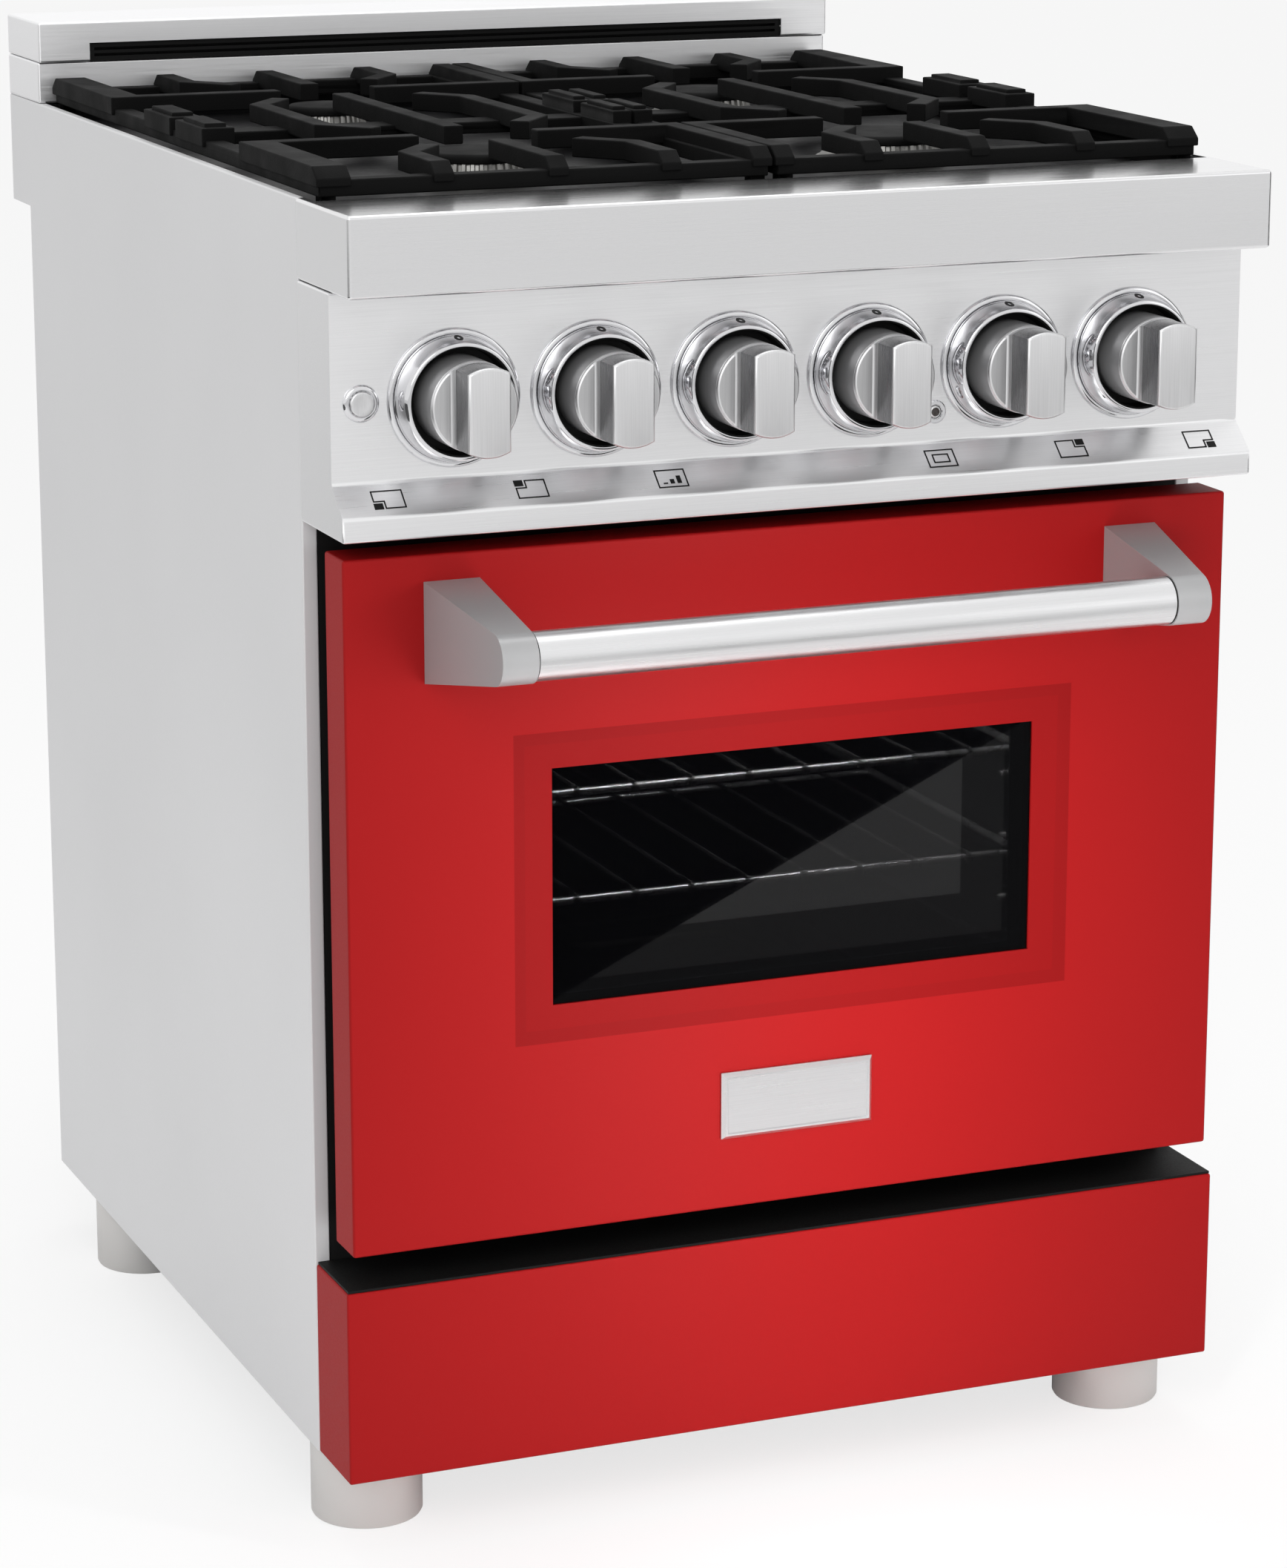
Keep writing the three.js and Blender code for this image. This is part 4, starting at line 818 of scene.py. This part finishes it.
burnerShape = {
    "stem": 22,
    "skirt": ((-0.6, 0), (0, 0.6), (0, 3), (-0.8, 3.8), (-2.6, 4), (-4, 6), (-5.4, 7.5)),
    "shoulder": 7.5,
    "teeth": 36,
    "notch": 1.7,
    "lean": 0.25,  # how far a tooth's sides lean, as a share of a quarter of its pitch
    "toothFoot": ((0.6, 6.5),),
    "toothHead": ((-0.4, -0.8), (-0.8, 0)),
    "capEdge": ((-0.5, 0), (0, 0.6)),
    "domeShare": 0.55,
    "crown": 1.2,
    "crownAt": (0.5, 0.25),  # part way in, as a share of the cap's radius and of the crown
}


def toothedRow(centre, reach, z):
    count, notch, lean = burnerShape["teeth"] * 4, burnerShape["notch"] * mm, burnerShape["lean"]
    row = []
    for k in range(count):
        out = reach - (notch if k % 4 in (0, 1) else 0)
        turn = 2 * math.pi * (k + (lean if k % 4 in (1, 3) else -lean)) / count
        row.append((centre.x + out * math.cos(turn), centre.y + out * math.sin(turn), z))
    return row


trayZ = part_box("grate_left")[0].z  # the grates' feet and the burners stand on the same floor
stem, shoulder, crown = (burnerShape[key] * mm for key in ("stem", "shoulder", "crown"))
for corner in corners:
    low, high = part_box("burner_base_" + corner)
    capLow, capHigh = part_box("burner_cap_" + corner)
    centre = (low + high) / 2
    skirt, capRadius = (high.x - low.x) / 2, (capHigh.x - capLow.x) / 2
    profile = [(0, low.z), (stem, low.z), (stem, trayZ), *offsets(skirt, trayZ, burnerShape["skirt"]),
               (0, trayZ + shoulder)]
    base = addLathe(bmesh.new(), profile, forward=False, place=(centre.x, centre.y, 0))
    levels = (offsets(capRadius, trayZ, burnerShape["toothFoot"])
              + offsets(capRadius, high.z, burnerShape["toothHead"]))
    addLoft(base, [toothedRow(centre, reach, z) for reach, z in levels])
    piece("burner_ring_" + corner, base, "burner", "root", ["burner_base_" + corner])
    bottom, top = capLow.z, capHigh.z
    dome = (top - bottom) * burnerShape["domeShare"]
    profile = [(0, bottom), *offsets(capRadius, bottom, burnerShape["capEdge"])]
    profile += [(capRadius, top - dome - crown), *roundOver(capRadius, top - crown, dome, dome, 5)]
    inward, sunk = burnerShape["crownAt"]
    profile += [(capRadius * inward, top - crown * sunk), (0, top)]
    cap = addLathe(bmesh.new(), profile, forward=False, place=(centre.x, centre.y, 0))
    piece("burner_lid_" + corner, cap, "iron", "root", ["burner_cap_" + corner], smooth=30)
print("burners built")


# grates, cast in one piece each

grateShape = {"round": 1.5, "sharp": 20, "segments": 2, "profile": 0.6, "smooth": 45}
for word in ("left", "right"):
    node = "grate_" + word
    mesh = cadCopy(node)
    edges = [edge for edge in mesh.edges if len(edge.link_faces) == 2
             and edge.calc_face_angle_signed(0) > math.radians(grateShape["sharp"])]
    rounded(mesh, edges, grateShape["round"] * mm, grateShape["segments"], grateShape["profile"])
    softened(piece("grate_casting_" + word, mesh, "iron", node, [node],
                   smooth=grateShape["smooth"]))
print("grates cast")


# racks with their guide studs, and heating elements

rackShape = {
    "wires": 9,
    "frame": 2.7,
    "frameSides": 14,
    "wire": 1.6,
    "wireSides": 10,
    "sides": 12,
    "bend": 14,
    "joint": 0.01,  # what the frame's ends leave between them
    "spine": 1.2,  # the middle bar, the hooks' place and their tips, as shares of a wire's radius
    "hookAhead": 0.9,
    "tip": 1.7,
    "hook": 5,
    "hookBend": 2.4,
    "hookSteps": 4,
    "tipStart": 1.5,
    "tipEnd": 0.5,
}
thick, thin, bend, joint, drop, hookBend, tipStart, tipEnd = (rackShape[key] * mm for key in (
    "frame", "wire", "bend", "joint", "hook", "hookBend", "tipStart", "tipEnd"))
for word in ("upper", "lower"):
    low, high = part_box("oven_rack_" + word)
    left, right, front, back = low.x + thick, high.x - thick, low.y + thick, high.y - thick
    frameZ, wireZ = low.z + thick, high.z - thin
    half = (left + right) / 2
    loop = [(half, front), (right, front), (right, back), (left, back), (left, front), (half - joint, front)]
    rack = bmesh.new()
    addTube(rack, roundedPath([(x, y, frameZ) for x, y in loop], bend), thick, rackShape["frameSides"])
    addTube(rack, [(x, (front + back) / 2, frameZ) for x in (left, right)], thin * rackShape["spine"],
            rackShape["sides"])
    hookY, hookZ = front - thick - thin * rackShape["hookAhead"], wireZ - drop
    for k in range(1, rackShape["wires"] + 1):
        x = left + (right - left) * k / (rackShape["wires"] + 1)
        wire = roundedPath([(x, back, wireZ), (x, hookY, wireZ), (x, hookY, hookZ)], hookBend,
                           rackShape["hookSteps"])
        first = len(rack.faces)
        addTube(rack, wire, thin, rackShape["wireSides"])
        addTube(rack, [(x, hookY, wireZ - tipStart), (x, hookY, hookZ - tipEnd)], thin * rackShape["tip"],
                rackShape["sides"])
        # the wires that run back and their hooks take the darker wire: painted shade deeper in the oven, and
        # painted shadow gaps in the front bar's highlight
        rack.faces.ensure_lookup_table()
        for face in rack.faces[first:]:
            face.material_index = 1
    piece("rack_" + word, rack, "wire", "root", ["oven_rack_" + word], extra=("wireShade",))

studShape = {"radius": 2.6, "length": 4.5, "pitch": 43, "lowest": 306, "count": 5, "behindFront": 56,
             "wall": 205, "sides": 16, "section": ((-0.2, 1), (0.7, 1), (0.92, 0.75), (1, 0.4))}
studs = bmesh.new()
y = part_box("oven_liner")[0].y + studShape["behindFront"] * mm
for side in (-1, 1):
    for k in range(studShape["count"]):
        z = (studShape["lowest"] + k * studShape["pitch"]) * mm
        rows = []
        for reach, share in studShape["section"]:
            x = side * (studShape["wall"] - reach * studShape["length"]) * mm
            radius = studShape["radius"] * share * mm
            rows.append([(x, y + radius * u, z + radius * v) for u, v in circle(studShape["sides"])])
        addLoft(studs, rows)
piece("rack_guide_studs", studs, "wire", "root")

elementShape = {"radius": 3.4, "sides": 14, "axis": 3.5, "bend": 22, "run": 111.5, "tails": 40, "clip": 1.6,
                "clipSides": 10, "clipBehind": 40}
radius, axis, bend, run, tails, clip, clipBehind = (
    elementShape[key] * mm for key in ("radius", "axis", "bend", "run", "tails", "clip", "clipBehind"))
for name, standing in (("bake_element", True), ("broil_element", False)):
    low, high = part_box(name)
    z, end = (high.z - axis, low.z) if standing else (low.z + axis, high.z)
    turn, outer, front = high.y - run, high.x - axis, low.y + axis
    half = [(tails, high.y), (tails, turn), (outer, turn), (outer, front)]
    path = [(-x, y, z) for x, y in half] + [(x, y, z) for x, y in reversed(half)]
    rod = addTube(bmesh.new(), roundedPath(path, bend), radius, elementShape["sides"])
    for x in (-outer, outer):
        addTube(rod, [(x, front + clipBehind, height) for height in (z, end)], clip,
                elementShape["clipSides"])
    piece(name.replace("element", "rod"), rod, "element", "root", [name])
print("racks and elements bent")


# small things at the back: screws, and the gas inlet's nut and thread

screwShape = {"radius": 3.6, "height": 2, "sides": 20,
              "section": ((0, 0), (1, 0), (1, 0.45), (0.8, 0.85), (0.45, 1), (0.4, 0.55), (0, 0.5))}
backShape = {"plate": 1.8, "shelf": 774, "columns": (-285, -95, 95, 285), "rows": (200, 350, 500, 650),
             "side": 292, "inset": 14, "shelfInset": 18}


def addScrew(mesh, place):  # with its head towards +Y
    radius, height = screwShape["radius"] * mm, screwShape["height"] * mm
    first = len(mesh.verts)
    addLathe(mesh, [(radius * out, height * up) for out, up in screwShape["section"]], screwShape["sides"],
             forward=False)
    mesh.verts.ensure_lookup_table()
    turn = Vector((0, 0, 1)).rotation_difference(Vector((0, 1, 0))).to_matrix().to_4x4()
    bmesh.ops.transform(mesh, matrix=Matrix.Translation(Vector(place)) @ turn, verts=mesh.verts[first:])


backLow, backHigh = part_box("back_panel")
plate, shelf, inset, shelfInset = (backShape[key] * mm for key in ("plate", "shelf", "inset", "shelfInset"))
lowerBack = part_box("base_pan")[1].y + plate
screws = bmesh.new()
for x in backShape["columns"]:
    addScrew(screws, (x * mm, backHigh.y, backHigh.z - inset))
    addScrew(screws, (x * mm, lowerBack, shelf - shelfInset))
    addScrew(screws, (x * mm, lowerBack, backLow.z + inset))
for z in backShape["rows"]:
    for side in (-1, 1):
        addScrew(screws, (side * backShape["side"] * mm, lowerBack, z * mm))
piece("back_screws", screws, "zinc", "root")

inletShape = {"x": 90, "z": 700, "radius": 8.3, "nut": 13, "nutSpan": (0.5, 9), "bore": 3, "threads": 9,
              "crest": 0.7, "halfPitch": 0.85, "gap": 0.1, "sides": 32}
pipeX, pipeZ, pipeRadius, nut, bore, crest, halfPitch, gap = (
    inletShape[key] * mm for key in ("x", "z", "radius", "nut", "bore", "crest", "halfPitch", "gap"))
pipe = addLoft(bmesh.new(), [[(pipeX + u * nut, lowerBack + out * mm, pipeZ + v * nut) for u, v in circle(6)]
                             for out in inletShape["nutSpan"]])
count = inletShape["threads"] * 2
profile = [(pipeRadius - bore, 0)]
profile += [(pipeRadius + (crest if k % 2 else 0), k * halfPitch) for k in range(count)]
profile.append((pipeRadius - bore, count * halfPitch))
addLathe(pipe, profile, inletShape["sides"], place=(pipeX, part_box("gas_manifold")[1].y + gap, pipeZ))
piece("gas_inlet_end", pipe, "burner", "root")
print("back details placed")


# camera, floor and light

cameraSetting = {
    "azimuth": 22.25,
    "tilt": 14.24,
    "focal": 6233,  # in pixels of a picture this high
    "high": 2115,
    "sensor": 36,
    "far": 40,
    "place": (-1155.6, -2626.6, 1188.5),
    "draftShift": -252,  # from the drafting frame, in which the camera was fitted
}
camera = bpy.data.cameras.new("camera")
camera.sensor_width = cameraSetting["sensor"]
camera.lens = cameraSetting["focal"] / cameraSetting["high"] * cameraSetting["sensor"]
camera.clip_end = cameraSetting["far"]
cameraThing = bpy.data.objects.new("camera", camera)
scene.collection.objects.link(cameraThing)
x, y, z = cameraSetting["place"]
cameraThing.location = Vector((x, y + cameraSetting["draftShift"], z)) * mm
azimuth, tilt = math.radians(cameraSetting["azimuth"]), math.radians(cameraSetting["tilt"])
looking = Vector((math.sin(azimuth) * math.cos(tilt), math.cos(azimuth) * math.cos(tilt), -math.sin(tilt)))
cameraThing.rotation_mode = "QUATERNION"
cameraThing.rotation_quaternion = looking.to_track_quat("-Z", "Y")
scene.camera = cameraThing

studio = {"world": 0.76, "floorWhite": 0.72, "floorColor": 0.95, "size": 14, "reflected": 1.0}


def seenDirectly(tree, names=("Is Glossy Ray", "Is Transmission Ray")):
    # 1 for what the camera, a mirror or a glass sees, 0 for the light that falls on things
    path = tree.nodes.new("ShaderNodeLightPath")
    total = path.outputs["Is Camera Ray"]
    for name in names:
        add = tree.nodes.new("ShaderNodeMath")
        add.operation = "MAXIMUM"
        tree.links.new(total, add.inputs[0])
        tree.links.new(path.outputs[name], add.inputs[1])
        total = add.outputs[0]
    return total


world = bpy.data.worlds.new("studio")
scene.world = world
world.use_nodes = True
tree = world.node_tree
background = tree.nodes["Background"]
strength = tree.nodes.new("ShaderNodeMapRange")
strength.inputs["To Min"].default_value = studio["world"]
strength.inputs["To Max"].default_value = studio["reflected"]
tree.links.new(seenDirectly(tree), strength.inputs["Value"])
tree.links.new(strength.outputs["Result"], background.inputs["Strength"])
background.inputs["Color"].default_value = (1, 1, 1, 1)

floorMaterial = bpy.data.materials.new("studio_floor")
floorMaterial.use_nodes = True
tree = floorMaterial.node_tree
tree.nodes.clear()
diffuse = tree.nodes.new("ShaderNodeBsdfDiffuse")
diffuse.inputs["Color"].default_value = (*(studio["floorColor"],) * 3, 1)
glow = tree.nodes.new("ShaderNodeEmission")
mix = tree.nodes.new("ShaderNodeMixShader")
share = tree.nodes.new("ShaderNodeMath")
share.operation = "MULTIPLY"
share.inputs[1].default_value = studio["floorWhite"]
output = tree.nodes.new("ShaderNodeOutputMaterial")
tree.links.new(seenDirectly(tree, ("Is Transmission Ray",)), share.inputs[0])
tree.links.new(share.outputs[0], mix.inputs["Fac"])
tree.links.new(diffuse.outputs[0], mix.inputs[1])
tree.links.new(glow.outputs[0], mix.inputs[2])
tree.links.new(mix.outputs[0], output.inputs["Surface"])


def stagePlane(name, corners, material):
    data = bpy.data.meshes.new(name)
    data.from_pydata(corners, [], [tuple(range(len(corners)))])
    data.materials.append(material)
    thing = bpy.data.objects.new(name, data)
    scene.collection.objects.link(thing)
    thing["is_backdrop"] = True
    return thing


def flagFinish(name, level):
    return newMaterial(name, {"color": (level,) * 3, "rough": 1, "gloss": 0})[0]


size = studio["size"]
stagePlane("floor", [(-size, -size, 0), (size, -size, 0), (size, size, 0), (-size, size, 0)], floorMaterial)

glassShape = {"lap": 8, "spare": 30}  # the sheet's edge covers the glass by lap
lap, spare = glassShape["lap"] * mm, glassShape["spare"] * mm
left, right, bottom, top = glassLow.x + lap, glassHigh.x - lap, glassLow.z + lap, glassHigh.z - lap


def mirrored(x, z, lift=0.004):  # the place on the floor that the camera sees in the glass at x and z
    ray = Vector((x, glassLow.y, z)) - cameraThing.location
    share = z / -ray.z
    return (x + ray.x * share, glassLow.y - ray.y * share, lift)


def mirroredBand(side, foot, edge, lift):  # a band along the right and the bottom, as shares of the glass
    inX, inZ = right - (right - left) * side, bottom + (top - bottom) * foot
    outX, outZ = right - (right - left) * edge, bottom + (top - bottom) * edge
    return [mirrored(left, outZ, lift), mirrored(outX, outZ, lift), mirrored(outX, top, lift),
            mirrored(inX, top, lift), mirrored(inX, inZ, lift), mirrored(left, inZ, lift)]


flags = {  # cards, seen only in reflections: the black one is what the glass half mirrors
    "flag_floor": (0.005, [mirrored(left, bottom), mirrored(right, top), mirrored(right, top + spare),
                           mirrored(left - spare, top + spare), mirrored(left - spare, bottom)]),
    "flag_band_wide": (0.34, mirroredBand(0.147, 0.27, 0, 0.002)),
    "flag_band_edge": (0.14, mirroredBand(0.056, 0.08, -0.02, 0.003)),
    "flag_floor_left": (0.1, [(-1.5, -2.6, 0.003), (-1.5, 3, 0.003), (-6, 3, 0.003), (-6, -2.6, 0.003)]),
    "flag_floor_right": (0.12, [(2.1, -3.0, 0.003), (6, -3.0, 0.003), (6, 2, 0.003), (2.1, 2, 0.003)]),
    "flag_right": (0.02, [(1.9, -1.7, 0.0), (2.3, -0.7, 0.0), (2.3, -0.7, 1.8), (1.9, -1.7, 1.8)]),
}
for name, (level, outline) in flags.items():
    flag = stagePlane(name, outline, flagFinish(name, level))
    flag.visible_camera = flag.visible_diffuse = flag.visible_shadow = flag.visible_transmission = False

lamps = {  # place, what it points at, width, height and power
    "key": ((-1.7, -3.0, 2.3), (0, 0, 0.45), 1.9, 1.9, 34),
    "fill": ((2.4, -2.6, 1.5), (0, 0, 0.45), 1.6, 1.6, 4),
    "top": ((0.2, 0.2, 2.9), (0, 0, 0.8), 1.6, 1.6, 16),
    "band": ((0.01, -0.64, 0.38), (0.01, 0, 0.38), 0.05, 0.6, 1.75),
    "oven": ((0, -0.256, 0.6), (0, -0.2, 0.3), 0.34, 0.02, 2.2),
}
for name, (place, target, width, height, power) in lamps.items():
    light = bpy.data.lights.new(name, "AREA")
    light.shape = "RECTANGLE"
    light.size = width
    light.size_y = height
    light.energy = power
    thing = bpy.data.objects.new(name, light)
    scene.collection.objects.link(thing)
    thing.location = place
    thing.rotation_mode = "QUATERNION"
    thing.rotation_quaternion = (Vector(target) - Vector(place)).to_track_quat("-Z", "Y")
    thing.visible_camera = False
    thing.visible_glossy = name != "band"
scene.view_settings.view_transform = "Standard"
print("camera and light set")

low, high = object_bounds()
